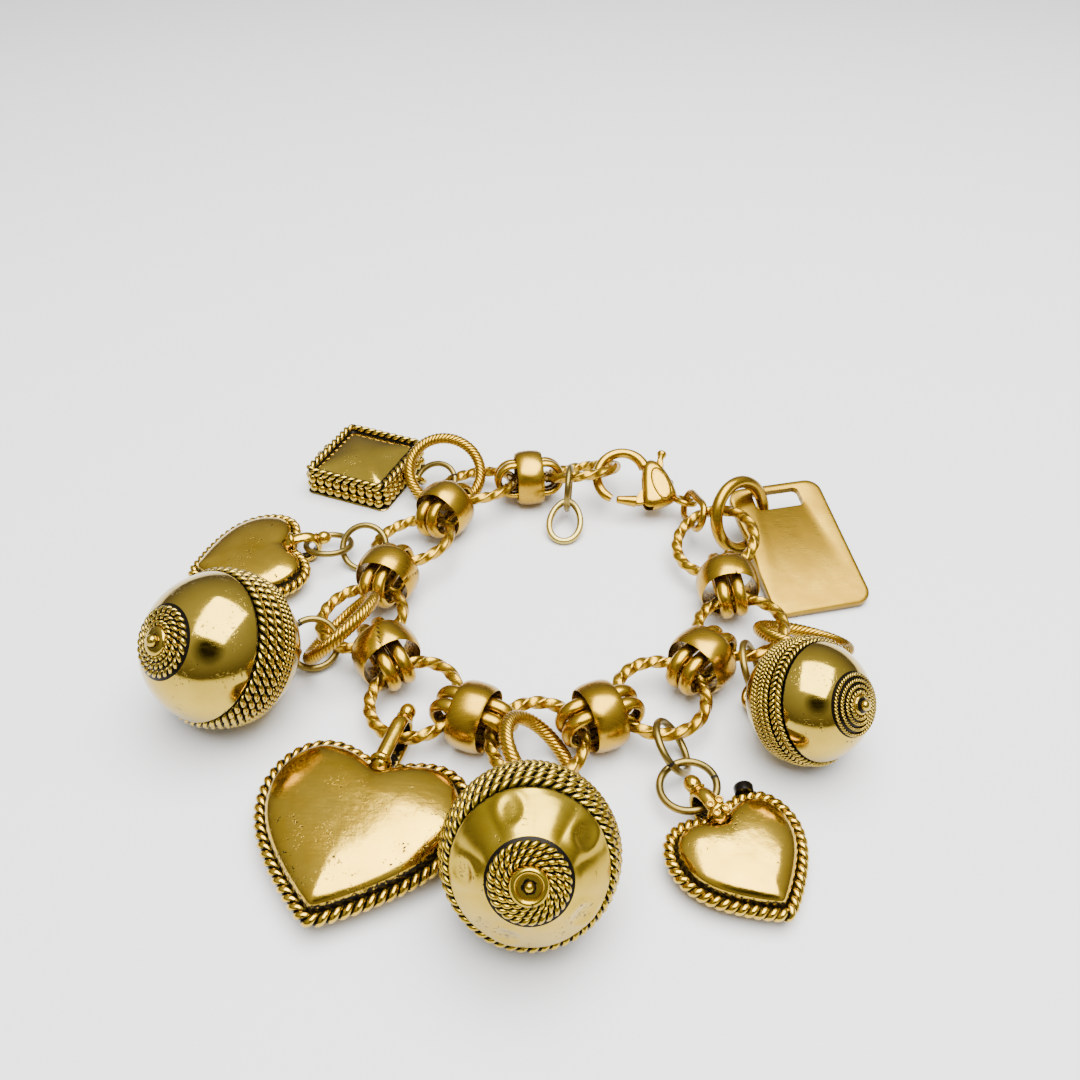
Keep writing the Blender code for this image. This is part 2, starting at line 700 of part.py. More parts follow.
def body_shell(work):
    """The clasp's body: its outline, rounded off toward both faces."""
    middle = sum(CLASP_OUTLINE, Vector()) / len(CLASP_OUTLINE)
    half = CLASP_THICKNESS / 2
    rows = []
    for share, z in ((0.78, -half), (0.96, -half * 0.72), (1.0, 0), (0.96, half * 0.72), (0.78, half)):
        rows.append([middle + (p - middle) * share + UP * z for p in CLASP_OUTLINE])
    loft(work, rows)


def gate(work):
    """The part of the lever that closes the hook, thicker toward the body."""
    start, end = LEVER_GATE
    along = (end - start).normalized()
    out = along.cross(UP)
    rows = []
    for share, size in ((0.0, HOOK_TIP_SHARE * 0.85), (0.45, 0.88), (1.0, 1.15)):
        point = start.lerp(end, share)
        rows.append([point + out * u * size + UP * v * size for u, v in round_section(HOOK_WIRE)])
    loft(work, rows)


def build_clasp(gold, root, ring_first):
    """Lobster clasp: hook and body in one, a lever on a cross pin, and an oval link at the tail."""
    matrix = placement(CLASP_PLACE, CLASP_FACE, CLASP_ALONG)
    body = place("clasp_body", mesh_from(body_shell, "clasp_body", 40), gold, matrix, root)
    unite(body, place("clasp_hook", mesh_from(hook_arc, "clasp_hook"), gold, matrix, root))
    slot = mesh_from(plate_of(LEVER_ROOM, LEVER_THICKNESS + 2 * AIR), "lever_room")
    cut(body, place("lever_room", slot, gold, matrix, root))
    on_axis = Matrix.Translation(LEVER_AXIS)
    pin_mesh = mesh_from(lambda work: pin(work, LEVER_PIN, CLASP_THICKNESS * 0.9), "lever_pin")
    unite(body, place("lever_pin", pin_mesh, gold, matrix @ on_axis, root))
    tail = Matrix.Translation(CLASP_TAIL)
    eye = plain_ring("clasp_eye", TAIL_EYE_RADIUS, EYE_WIRE, 10)
    upright = placement((0, 0, 0), (0, 1, 0.8), (1, 0, 0))
    unite(body, place("clasp_eye", eye, gold, matrix @ tail @ upright, root))

    back = Matrix.Translation(-LEVER_AXIS)
    swing = matrix @ on_axis
    lever_mesh = mesh_from(plate_of(LEVER_OUTLINE, LEVER_THICKNESS), "clasp_lever", 30)
    lever_mesh.transform(back)
    lever = place("clasp_lever", lever_mesh, gold, swing, root)
    unite(lever, place("lever_gate", mesh_from(gate, "lever_gate"), gold, matrix, root))

    def thumb(work):
        bmesh.ops.create_uvsphere(work, u_segments=8, v_segments=6, radius=LEVER_THUMB)

    unite(lever, place("lever_thumb", mesh_from(thumb, "lever_thumb"), gold,
                       matrix @ Matrix.Translation(LEVER_THUMB_PLACE), root))
    hole = mesh_from(lambda work: pin(work, LEVER_PIN + AIR, CLASP_THICKNESS), "lever_hole")
    cut(lever, place("lever_hole", hole, gold, swing, root))

    held = matrix @ CLASP_TAIL
    ring_wire = ring_first.toward(held)
    along = (ring_wire - held).normalized()
    end = ring_wire + along * (RING_REACH + 2.5 * AIR + TAIL_LINK_WIRE / 2)
    through = (matrix @ upright).to_3x3() @ UP
    face = along.cross(through)
    outline = stadium((end - held).length, TAIL_LINK_WIDTH - TAIL_LINK_WIRE, 5)
    path = [Vector((p.x, p.z, 0)) for p in outline]
    link = mesh_from(lambda work: swept_ring(work, path, -UP, round_section(TAIL_LINK_WIRE)), "clasp_link")
    place("clasp_link", link, gold, placement((held + end) / 2, face, along), root)


def build():
    clear_scene()
    gold = metal("satin_gold", (0.37, 0.21, 0.05), 0.32)
    polished = metal("polished_gold", (0.55, 0.4, 0.16), 0.14)
    dull = metal("dull_brass", (0.22, 0.17, 0.07), 0.42)
    root = bpy.data.objects.new("bracelet", None)
    bpy.context.scene.collection.objects.link(root)
    metals = (gold, polished, dull)
    rings = build_chain(gold, root)

    hang_ball("left_ball", LEFT_BALL_RADIUS, rings[5], 214, 225, (0.3, -0.55, 0.7), 3.0 * MM, metals, root)
    hang_ball("front_ball", FRONT_BALL_RADIUS, rings[3], 270, 270, (0.8, -0.2, 0.62), 3.2 * MM, metals, root)
    hang_ball("small_ball", SMALL_BALL_RADIUS, rings[1], 273, 314, (0.85, 0.0, 0.5), 3.6 * MM, metals, root)

    cables = (
        ("left_ball_cable_ring", (-29.4, -27.2, 5.9), (-0.66, 0.33, 0.67)),
        ("front_ball_cable_ring", (0.1, -51.1, 5.6), (0.72, 0.14, 0.68)),
        ("small_ball_cable_ring", (38.8, -29.0, 5.4), (0.19, 0.53, 0.83)),
        ("square_cable_ring", (-17.0, 13.4, 4.9), (0.18, -0.54, 0.82)),
    )
    for name, centre, axis in cables:
        cable = Ring(Vector(centre) * MM, axis, CABLE_RADIUS, CABLE_WIRE / 2)
        lay_ring(name, cable, CABLE_WIRE, CABLE_STEPS, gold, root)

    hold = rings[4].at_bearing(255)
    hang_heart("large_heart", LARGE_HEART_WIDTH, LARGE_HEART_DOME, LARGE_BAIL_LENGTH, hold, RING_REACH, 74, 0.5,
               metals, root)
    left = hang_by_two_rings("left_heart", rings[6], 179, ((177, 5), (173, 0)),
                             ((0.1, -0.66, 0.75), (0, 0.25, 0.97)), metals, root)
    hang_heart("left_heart", LEFT_HEART_WIDTH, SMALL_HEART_DOME, SMALL_BAIL_LENGTH, left.at_bearing(189),
               JUMP_WIRE / 2, 19, 2, metals, root)
    right = hang_by_two_rings("right_heart", rings[2], 275, ((280, 10), (292, 0)),
                              ((0.8, -0.2, 0.55), (0, -0.35, 0.94)), metals, root)
    hang_heart("right_heart", RIGHT_HEART_WIDTH, SMALL_HEART_DOME, SMALL_BAIL_LENGTH, right.at_bearing(300),
               JUMP_WIRE / 2, 119, 3, metals, root)

    start = rings[7].at_bearing(158)
    eye = start + heading(162, 5) * ring_span(RING_REACH, EYE_WIRE / 2)
    jump = ring_between(start, RING_REACH, eye, EYE_WIRE / 2, (0.1, -0.6, 0.8))
    lay_ring("square_jump_ring", jump, JUMP_WIRE, ROUND_STEPS, dull, root)
    turn = Matrix.Rotation(math.radians(-22), 4, "Z")
    corner = eye - turn @ Vector((SQUARE_SIDE / 2 + 2 * EYE_RADIUS - 0.2 * MM, 0, 0))
    corner.z = 0
    square_charm("square_charm", polished, Matrix.Translation(corner) @ turn, root)

    thick = Ring(Vector((33.7, -1.1, 6.4)) * MM, (0.58, -0.7, 0.41), THICK_RADIUS, THICK_WIRE / 2)
    lay_ring("thick_ring", thick, THICK_WIRE, ROUND_STEPS, gold, root)
    tag_turn = placement(Vector((42.6, -6.2, 3.95)) * MM, (0.05, -0.245, 0.97), heading(12.5))
    tag_plate("plate_tag", gold, tag_turn, root)
    build_clasp(gold, root, rings[0])
    hang_drop(rings[8], 255, root, metals)
    centre_on_table(root)


build()
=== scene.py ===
"""Looks of a charm bracelet that lies in a loop: antiqued gold rings, balls, hearts, a square and a clasp."""
import json
import math

import bmesh
import bpy
import numpy as np
from mathutils import Matrix, Vector


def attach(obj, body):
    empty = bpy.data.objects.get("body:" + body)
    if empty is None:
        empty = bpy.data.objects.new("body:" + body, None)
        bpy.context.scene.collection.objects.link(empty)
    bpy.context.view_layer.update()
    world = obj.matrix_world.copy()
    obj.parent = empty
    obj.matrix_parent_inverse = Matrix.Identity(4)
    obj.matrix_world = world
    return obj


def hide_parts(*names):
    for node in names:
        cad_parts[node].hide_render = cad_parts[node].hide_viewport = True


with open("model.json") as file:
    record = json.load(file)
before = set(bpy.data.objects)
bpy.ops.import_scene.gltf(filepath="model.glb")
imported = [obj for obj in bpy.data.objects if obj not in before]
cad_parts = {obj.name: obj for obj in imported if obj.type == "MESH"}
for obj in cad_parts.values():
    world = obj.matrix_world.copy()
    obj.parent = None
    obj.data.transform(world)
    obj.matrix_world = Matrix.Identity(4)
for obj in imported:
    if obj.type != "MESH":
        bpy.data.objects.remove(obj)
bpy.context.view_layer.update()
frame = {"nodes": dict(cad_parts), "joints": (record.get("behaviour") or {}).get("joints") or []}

bl_info = {
    "name": "Charm Bracelet",
    "version": (1, 0, 0),
    "blender": (4, 5, 0),
    "location": "3D View > Sidebar > Bracelet",
    "description": "Builds the fine shapes and finishes of a charm bracelet around its fixed frame",
    "category": "Object",
}

MM = 0.001
TAU = 2 * math.pi
UP = Vector((0, 0, 1))
BODY = "bracelet"
LEVER_BODY = "clasp_lever"

# Chain: ring radius to the wire's middle, wires and bands. A seam is its depth and half its width in radians
RING_RADIUS = 6.35
RING_WIRE = 1.5
RING_TURNS = 4
RING_CORNERS = 7.0
RING_PATCHES = 5
LOOP_WIRE = (2.05, 1.25)
LOOP_HEIGHT = 6.6
BAND_WIDTH = 4.6
BAND_WALL = 0.6
BAND_DOME = 0.35
BAND_LIP = 0.12
BAND_SEAM = (0.22, 0.05)
BAND_SLANT = 0.18
BAND_HAMMERED = 0.05

# Round rings: radius to the wire's middle, and the wire
JUMP_SIZE = (3.7, 1.05)
CABLE_SIZE = (6.4, 1.9)
THICK_SIZE = (5.6, 2.1)
CUT_GAP = 0.09
CABLE_STRANDS = 6

# Ropes: shares of the radius to a strand's middle and for its own radius, and the reach where painted shade
# starts
PAIR_OF_STRANDS = (0.5, 0.56)
BUNCH_OF_STRANDS = (0.66, 0.42)
ROPE_STEPS = 10
ROPE_CREST = 1.03
ROPE_SHADE = 0.22

# Ball charms, as in the frame. Channel, cone, dimples and creases are cut in their skin
EYE_RADIUS = 1.75
EYE_WIRE = 1.1
EYE_NECK = 1.5
KNOB_TOP = 1.3
ROPE_PROUD = 0.42
CHANNEL_DEPTH = 0.55
CONE_FLATNESS = 0.75
DIMPLE_SIZE = (1.7, 1.3)
DIMPLE_DEPTH = 0.24
DIMPLE_RIM = 0.05
# How dark the painted shade in the dimples is
DIMPLE_SHADE = 0.42
CREASE_DEPTH = 0.2
EYE_COLLAR = ((0.02, -0.9), (1.25, -0.75), (1.45, -0.35), (1.35, 0.1), (0.02, 0.3))

# Heart charms, as in the frame. The groove inside the edge is (inset, height, painted shade) points, turned
# parts are (radius, z) points, and a petal's ring is its radius and wire
HEART_STRETCH = 1.1
HEART_UNITS = 32
HEART_FLANK = 1.7
HEART_RIPPLE = 0.6
HEART_TIP_UNITS = 13 + 4 * HEART_RIPPLE
HEART_NOTCH_UNITS = 13 - 8 * HEART_RIPPLE
HEART_GROOVE = ((0.95, 0.0, 1.0), (1.15, 0.22, 1.0), (1.45, 0.3, 1.0), (1.62, 0.5, 0.85))
EDGE_WIRE = 1.5
EDGE_PROUD = 1.16
BAIL_WIDTH = 2.1
BAIL_WALL = 0.9
BAIL_HEIGHT = 5.2
BAIL_SINK = 1.6
BAIL_BALL = 1.15
BAIL_COLLAR = ((0.02, -0.9), (1.0, -0.9), (1.2, -0.62), (1.0, -0.42), (0.86, -0.36), (1.02, -0.2),
               (1.05, 0.0), (0.02, 0.1))
BAIL_BASE = ((0.02, -0.8), (1.35, -0.8), (1.5, -0.4), (1.3, 0.0), (0.02, 0.05))
PETAL_PLACE = 0.95
PETAL_RING = (0.42, 0.3)
CATCH = ((0.02, -0.5), (1.25, -0.5), (1.3, 0.5), (1.15, 0.75), (0.02, 0.8))

# Square charm and tag, as in the frame. The box is (inset, height, painted shade) points, each tier of beads
# is (inset, height, half sizes), and the rope round the lid is (inset, height, radius, ridges)
SQUARE_SIDE = 17.0
SQUARE_HEIGHT = 5.6
SQUARE_EYE_REACH = 0.655
PILLOW_EDGE = 2.0
PILLOW_BASE = 4.6
PILLOW_TOP = SQUARE_HEIGHT + 0.3
BOX_PROFILE = ((0.5, 0.0, 0.5), (0.3, 0.25, 0.2), (0.5, 0.5, 0.9), (1.25, 0.6, 1), (1.25, 2.2, 1),
               (1.0, 2.35, 1), (1.35, 2.5, 1), (1.35, 4.1, 1), (1.0, 4.4, 1), (1.75, 4.7, 1), (1.9, 4.5, 1))
BEADS = ((0.88, 1.42, (0.88, 0.92, 0.88)), (0.8, 3.3, (0.8, 1.02, 0.76)))
BEADS_ROUND = 36
BEAD_CORNER = 0.9
LID_ROPE = (0.95, 4.75, 0.76, 40)
TAG_SIZE = (16.5, 25.5, 1.5)
TAG_CORNER = 2.5
TAG_SLOT = (8.4, 3.8)
TAG_SLOT_CORNER = 0.9
TAG_SLOT_EDGE = 1.3

# Clasp, in its own plane with the middle of the hook at 0, 0 and the tail at +x; an oval panel on each face
CLASP_ALONG = Vector((0.95, -0.33, 0.03))
CLASP_PIN = (6.25, -0.4)
CLASP_POINTS = ((2.9, 3.6), (4.6, 4.9), (7.6, 2.9), (9.8, 0.0), (10.5, -1.4), (9.6, -2.8), (7.3, -4.6),
                (5.2, -5.2), (4.2, -2.2), (3.4, 0.8))
ROOM_POINTS = ((2.6, -6.2), (6.4, -6.2), (7.9, -1.4), (8.0, 0.4), (10.9, 3.2), (10.4, 8.0), (4.7, 8.0),
               (5.0, 1.2), (4.6, 0.6), (2.6, 0.2))
LEVER_POINTS = ((3.4, -4.9), (5.2, -4.3), (7.4, -1.2), (7.3, 0.8), (6.3, 5.6), (5.2, 5.6), (5.4, 1.6),
                (5.2, 0.2), (3.4, -3.0))
LEVER_GATE = ((0.25, -4.6), (3.6, -4.0))
LEVER_THUMB = (5.75, 6.0)
CLASP_TAIL = (11.9, -1.5)
HOOK_SIZE = (4.3, 4.7, 1.9)
HOOK_SPAN = (38, 262)
CLASP_THICKNESS = 3.2
LEVER_THICKNESS = 1.1
AIR = 0.22
TAIL_EYE = (1.65, 1.1)
TAIL_LINK = (5.7, 1.2)
THUMB = ((0.02, -1.4), (0.55, -1.4), (0.55, -0.4), (0.8, 0.0), (0.9, 0.4), (0.7, 0.75), (0.02, 0.92))
PANEL = (3.1, 1.35, 0.34)
PANEL_FLOOR = (2.95, 1.2)
PANEL_PLACE = (7.0, -0.1)

# Small drop: width, height and wire
DROP_SIZE = (6.0, 8.0, 1.1)

# Finishes: colours before light, the height of the relief, and how much they shine at a glance
# Black of the real pits and of the painted shade in recesses
PIT_AND_SHADE_BLACK = (0.008, 0.006, 0.004)
RICH_GOLD = (0.36, 0.20, 0.01)
RELIEF = 0.12
GRAZING_GLOSS = 0.15

# Stage, in metres and degrees
FLOOR_REACH = 30.0
ROOM_LOW = (0.22, 0.20, 0.18, 1)
ROOM_HIGH = (0.92, 0.94, 0.96, 1)
ROOM_FRONT = (0.03, 0.027, 0.025, 1)
FRONT_SIDE = (0.0, -0.72, 0.69)
WINDOW_SIZE = (0.66, 0.52)
WINDOW_PLACE = (0.06, -0.02, 0.55)
CAMERA_LENS = 33.33
CAMERA_DOWN = 40
CAMERA_TARGET = (0.00224, 0.0249, 0.0)


def unit(rows):
    """Rows of directions, each made one long."""
    return rows / np.maximum(np.linalg.norm(rows, axis=-1, keepdims=True), 1e-12)


def around(count):
    """Angles evenly spaced round a circle."""
    return TAU * np.arange(count) / count


def xyz(x, y, z=0.0):
    """Points from their coordinates, each repeated where another has more rows or columns."""
    return np.stack(np.broadcast_arrays(x, y, z), axis=-1)


def placement(origin, z_axis, x_axis):
    """A matrix at origin, with z along z_axis and x as near x_axis as it can be."""
    z = Vector(z_axis).normalized()
    x = Vector(x_axis)
    x = (x - z * x.dot(z)).normalized()
    turn = Matrix((x, z.cross(x), z)).transposed()
    return Matrix.Translation(origin) @ turn.to_4x4()


def step_in(origin, z_axis=UP, x_axis=(1, 0, 0)):
    """A placement inside a piece, its origin in millimetres."""
    return placement(Vector(origin) * MM, z_axis, x_axis)


class Shape:
    """Skins of points, in metres, that make one piece. Each point has a painted shade from 0, unshaded, to 1,
    painted black as shade.
    """

    def __init__(self):
        self.points = []
        self.recess = []
        self.lay = []
        self.faces = []
        self.count = 0

    def skin(self, rows, recess=0.0, lay=None, ends=False, matrix=None):
        """Adds rows of points, each closed on itself; the last row joins the first, or both close as ends."""
        rows = np.asarray(rows, float)
        if matrix is not None:
            turn = np.array(matrix)
            rows = rows @ turn[:3, :3].T + turn[:3, 3]
        count, across = rows.shape[:2]
        index = np.arange(count * across).reshape(count, across) + self.count
        lower = index[:-1] if ends else index
        upper = index[1:] if ends else np.roll(index, -1, axis=0)
        corners = (lower, np.roll(lower, -1, 1), np.roll(upper, -1, 1), upper)
        self.faces += np.stack(corners, axis=-1).reshape(-1, 4).tolist()
        if ends:
            self.faces += [index[0][::-1].tolist(), index[-1].tolist()]
        self.points.append(rows.reshape(-1, 3))
        self.recess.append(np.broadcast_to(recess, (count, across)).reshape(-1).astype(float))
        self.lay.append(np.zeros((count * across, 3)) if lay is None else lay.reshape(-1, 3))
        self.count += count * across
        return self


def mesh_of(name, shape, matrix, sharp):
    """The mesh of a shape, placed in the frame, with its painted shade and lay kept on its points."""
    turn = np.array(matrix)
    points = np.concatenate(shape.points) @ turn[:3, :3].T + turn[:3, 3]
    mesh = bpy.data.meshes.new(name)
    mesh.from_pydata(points.tolist(), [], shape.faces)
    work = bmesh.new()
    work.from_mesh(mesh)
    bmesh.ops.recalc_face_normals(work, faces=work.faces)
    work.to_mesh(mesh)
    work.free()
    # The painted shade of each point, which the metals lay on as black
    recess = mesh.attributes.new("recess", "FLOAT", "POINT")
    recess.data.foreach_set("value", np.concatenate(shape.recess))
    lay = mesh.attributes.new("lay", "FLOAT_VECTOR", "POINT")
    lay.data.foreach_set("vector", np.concatenate(shape.lay).ravel())
    mesh.shade_smooth()
    if sharp:
        mesh.set_sharp_from_angle(angle=math.radians(sharp))
    return mesh


def put(name, mesh, finish, nodes, body=BODY):
    """Shows a mesh as a piece that stands for CAD nodes and rides with their body."""
    mesh.materials.clear()
    mesh.materials.append(bpy.data.materials[finish])
    thing = bpy.data.objects.new(name, mesh)
    bpy.context.scene.collection.objects.link(thing)
    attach(thing, body)
    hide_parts(*nodes)


def piece(name, shape, matrix, finish, nodes, body=BODY, sharp=None):
    """Makes the mesh of a shape and shows it; edges steeper than sharp, in degrees, stay crisp."""
    put(name, mesh_of(name, shape, matrix, sharp), finish, nodes, body)


def points_of(node):
    """The distinct corners of a CAD node."""
    mesh = frame["nodes"][node].data
    corners = np.empty(len(mesh.vertices) * 3)
    mesh.vertices.foreach_get("co", corners)
    return np.unique(np.round(corners.reshape(-1, 3), 6), axis=0)


def spread(points):
    """Middle of a cloud of points, and its directions, longest first."""
    middle = points.mean(axis=0)
    directions = np.linalg.svd(points - middle, full_matrices=False)[2]
    return Vector(middle), [Vector(row) for row in directions]


def along_axis(points, direction, middle=(0, 0, 0)):
    """How far each point lies along a direction from a middle."""
    return (points - np.array(middle)) @ np.array(direction)


def toward(direction, hint):
    """The direction or its opposite, whichever is nearer the hint."""
    return direction if direction.dot(Vector(hint)) >= 0 else -direction


def ring_matrix(node):
    """Where a flat ring lies: z is its axis, upward."""
    middle, directions = spread(points_of(node))
    return placement(middle, toward(directions[2], UP), (1, 0, 0))


def arc(radius, angles):
    """Points at some angles of a circle about z, radius in millimetres."""
    return xyz(np.cos(angles), np.sin(angles)) * radius * MM


def circle(radius, count):
    """Points evenly spaced round a circle about z, radius in millimetres."""
    return arc(radius, around(count))


def round_section(wire, sides):
    """A round section of a wire, in millimetres."""
    angles = around(sides)
    return np.stack([np.cos(angles), np.sin(angles)], axis=-1) * wire / 2


def box_section(deep, wide, power, sides):
    """A section between a circle and a rectangle; a higher power has sharper corners."""
    angles = around(sides)
    cos, sin = np.cos(angles), np.sin(angles)
    reach = (np.abs(cos) ** power + np.abs(sin) ** power) ** (-1 / power)
    return np.stack([cos * reach * deep / 2, sin * reach * wide / 2], axis=-1)


def frames(path, across, closed=True):
    """Directions outward from a path and across it."""
    along = np.roll(path, -1, 0) - np.roll(path, 1, 0)
    if not closed:
        along[0] = path[1] - path[0]
        along[-1] = path[-1] - path[-2]
    along = unit(along)
    outward = unit(np.cross(along, np.broadcast_to(across, path.shape)))
    return outward, np.cross(outward, along)


def sweep(path, section, across=UP, twist=0.0, closed=True, sizes=None):
    """Rows of a section in millimetres, swept along a path; sizes scales it at each point."""
    outward, side = frames(path, across, closed)
    turn = twist * np.arange(len(path)) / len(path)
    cos, sin = np.cos(turn)[:, None], np.sin(turn)[:, None]
    u, v = section[:, 0] * MM, section[:, 1] * MM
    if sizes is not None:
        cos, sin = cos * sizes[:, None], sin * sizes[:, None]
    rows = path[:, None] + outward[:, None] * (u * cos - v * sin)[..., None]
    return rows + side[:, None] * (u * sin + v * cos)[..., None]


def wire_ring(radius, wire, steps, sides):
    """Rows of a closed ring of round wire, in millimetres."""
    return sweep(circle(radius, steps), round_section(wire, sides))


def resample(path, count):
    """The same closed path with its points evenly spaced."""
    points = np.vstack([path, path[:1]])
    lengths = np.concatenate([[0], np.cumsum(np.linalg.norm(np.diff(points, axis=0), axis=1))])
    at = np.linspace(0, lengths[-1], count, endpoint=False)
    return np.stack([np.interp(at, lengths, points[:, i]) for i in range(3)], axis=-1)


def soften(path, rounds):
    """Rounds off the corners of a closed path."""
    for _ in range(rounds):
        path = (np.roll(path, 1, 0) + 2 * path + np.roll(path, -1, 0)) / 4
    return path


def cut_corners(points, rounds=3):
    """Cuts the corners of a closed outline again and again, so that it stays inside its points."""
    for _ in range(rounds):
        after = np.roll(points, -1, 0)
        points = np.stack([points * 0.75 + after * 0.25, points * 0.25 + after * 0.75], axis=1).reshape(-1, 3)
    return points


def flat_points(pairs):
    """Points in the xy plane from pairs in millimetres."""
    return np.array([(x, y, 0.0) for x, y in pairs]) * MM


def rope(shape, path, radius, ridges, strands=2, sides=7, hand=1, depth=1.0):
    """Twists strands round a closed flat path, radius in millimetres; ridges are counted along one side. The
    strands' inner sides are painted black as the shade between them, scaled by depth.
    """
    turns = max(3, round(ridges / strands))
    steps = turns * ROPE_STEPS
    path = resample(path, steps)
    outward, side = frames(path, UP)
    shares = PAIR_OF_STRANDS if strands == 2 else BUNCH_OF_STRANDS
    inner, thick = (radius * share * MM for share in shares)
    angles = around(sides)[:, None]
    for strand in range(strands):
        turn = hand * TAU * (turns * np.arange(steps) / steps + strand / strands)
        away = outward * np.cos(turn)[:, None] + side * np.sin(turn)[:, None]
        helix = path + away * inner
        way = unit(np.roll(helix, -1, 0) - np.roll(helix, 1, 0))
        beside = unit(np.cross(way, away))
        out = np.cross(beside, way)
        rows = helix[:, None] + thick * (out[:, None] * np.cos(angles) + beside[:, None] * np.sin(angles))
        # Painted shade on the strands' inner sides, where they meet each other and what lies under them
        reach = np.linalg.norm(rows - path[:, None], axis=-1) / (radius * MM)
        shape.skin(rows, np.clip((ROPE_CREST - reach) / ROPE_SHADE, 0, 1) * depth)


def blob(shape, centre, size, up=UP, sides=12, rows=8, shade=0.45):
    """A rounded bead, centre and half sizes in millimetres; its underside, below the shade level, is painted
    dark as shade.
    """
    turn = np.array(placement((0, 0, 0), up, (1, 0, 0) if abs(up[0]) < 0.9 else (0, 1, 0)))[:3, :3]
    levels = np.linspace(0.06, math.pi - 0.06, rows)[:, None]
    angles = around(sides)
    ball = xyz(np.sin(levels) * np.cos(angles), np.sin(levels) * np.sin(angles), np.cos(levels))
    # Painted shade on the underside of the bead
    recess = np.clip((shade - ball[..., 2]) * 1.6, 0, 1)
    points = (ball * np.array(size)) @ turn.T + np.array(centre)
    shape.skin(points * MM, recess, ends=True)


def turned(shape, profile, steps, recess, matrix=None):
    """Turns (radius, z) points in millimetres about z; the first and last lie near the axis."""
    angles = around(steps)
    profile = np.array(profile, float)
    rows = xyz(profile[:, :1] * np.cos(angles), profile[:, :1] * np.sin(angles), profile[:, 1:])
    shape.skin(rows * MM, np.array(recess, float)[:, None], ends=True, matrix=matrix)


def round_ring(size, steps=64, sides=14, gap=0.0, start=0.0):
    """A ring of round wire; a gap in millimetres leaves it cut, and its cut ends are painted black as shade.
    """
    radius, wire = size
    if not gap:
        return Shape().skin(wire_ring(radius, wire, steps, sides))
    half = gap / 2 / radius
    path = arc(radius, start + np.linspace(half, TAU - half, steps))
    # Painted shade on the two cut ends
    shade = np.zeros((steps, sides))
    shade[[0, -1]] = 1
    return Shape().skin(sweep(path, round_section(wire, sides), closed=False), shade, ends=True)


def stadium(length, height, count):
    """An oval path in the xz plane, in millimetres, evenly spaced."""
    radius = height / 2
    middle = length / 2 - radius
    angles = np.linspace(-math.pi / 2, math.pi / 2, 24)
    half = xyz(middle + radius * np.cos(angles), 0.0, radius * np.sin(angles))
    return resample(np.vstack([half, half * [-1, 1, -1]]) * MM, count)


class Web:
    """Adds nodes to a node tree and links them."""

    def __init__(self, tree):
        self.tree = tree

    def add(self, kind, values=None, **settings):
        """A node with its settings; each value is set on its socket, or linked to it if it is a socket."""
        node = self.tree.nodes.new(kind)
        for key, value in settings.items():
            setattr(node, key, value)
        for key, value in (values or {}).items():
            if isinstance(value, bpy.types.NodeSocket):
                self.link(value, node.inputs[key])
            else:
                node.inputs[key].default_value = value
        return node

    def link(self, source, target):
        """Feeds one socket from another."""
        self.tree.links.new(source, target)

    def sum(self, operation, first, second=0.0, clamp=False):
        """One step of arithmetic."""
        node = self.add("ShaderNodeMath", {0: first, 1: second}, operation=operation, use_clamp=clamp)
        return node.outputs[0]

    def plus(self, first, second):
        """One value and another."""
        return self.sum("ADD", first, second)

    def minus(self, first, second):
        """One value less another."""
        return self.sum("SUBTRACT", first, second)

    def times(self, first, second, clamp=False):
        """One value by another."""
        return self.sum("MULTIPLY", first, second, clamp)

    def rise(self, value, low, high):
        """From 0 at low to 1 at high."""
        return self.add("ShaderNodeMapRange", {"Value": value, "From Min": low, "From Max": high}).outputs[0]

    def noise(self, where, size, detail=3.0, roughness=0.55):
        """A noise whose features have about this size in millimetres."""
        values = {"Vector": where, "Scale": 1 / (size * MM), "Detail": detail, "Roughness": roughness}
        return self.add("ShaderNodeTexNoise", values).outputs["Fac"]

    def blend(self, share, first, second):
        """A colour between two others."""
        return self.add("ShaderNodeMix", {0: share, 6: first, 7: second}, data_type="RGBA").outputs[2]


def new_group(name, inputs, outputs):
    """A new shader node group, and the sockets inside it that its inputs and outputs meet."""
    tree = bpy.data.node_groups.new(name, "ShaderNodeTree")
    for label, kind, default in inputs:
        socket = tree.interface.new_socket(label, in_out="INPUT", socket_type="NodeSocket" + kind)
        socket.default_value = default
    for label, kind in outputs:
        tree.interface.new_socket(label, in_out="OUTPUT", socket_type="NodeSocket" + kind)
    web = Web(tree)
    return web, web.add("NodeGroupInput").outputs, web.add("NodeGroupOutput").inputs


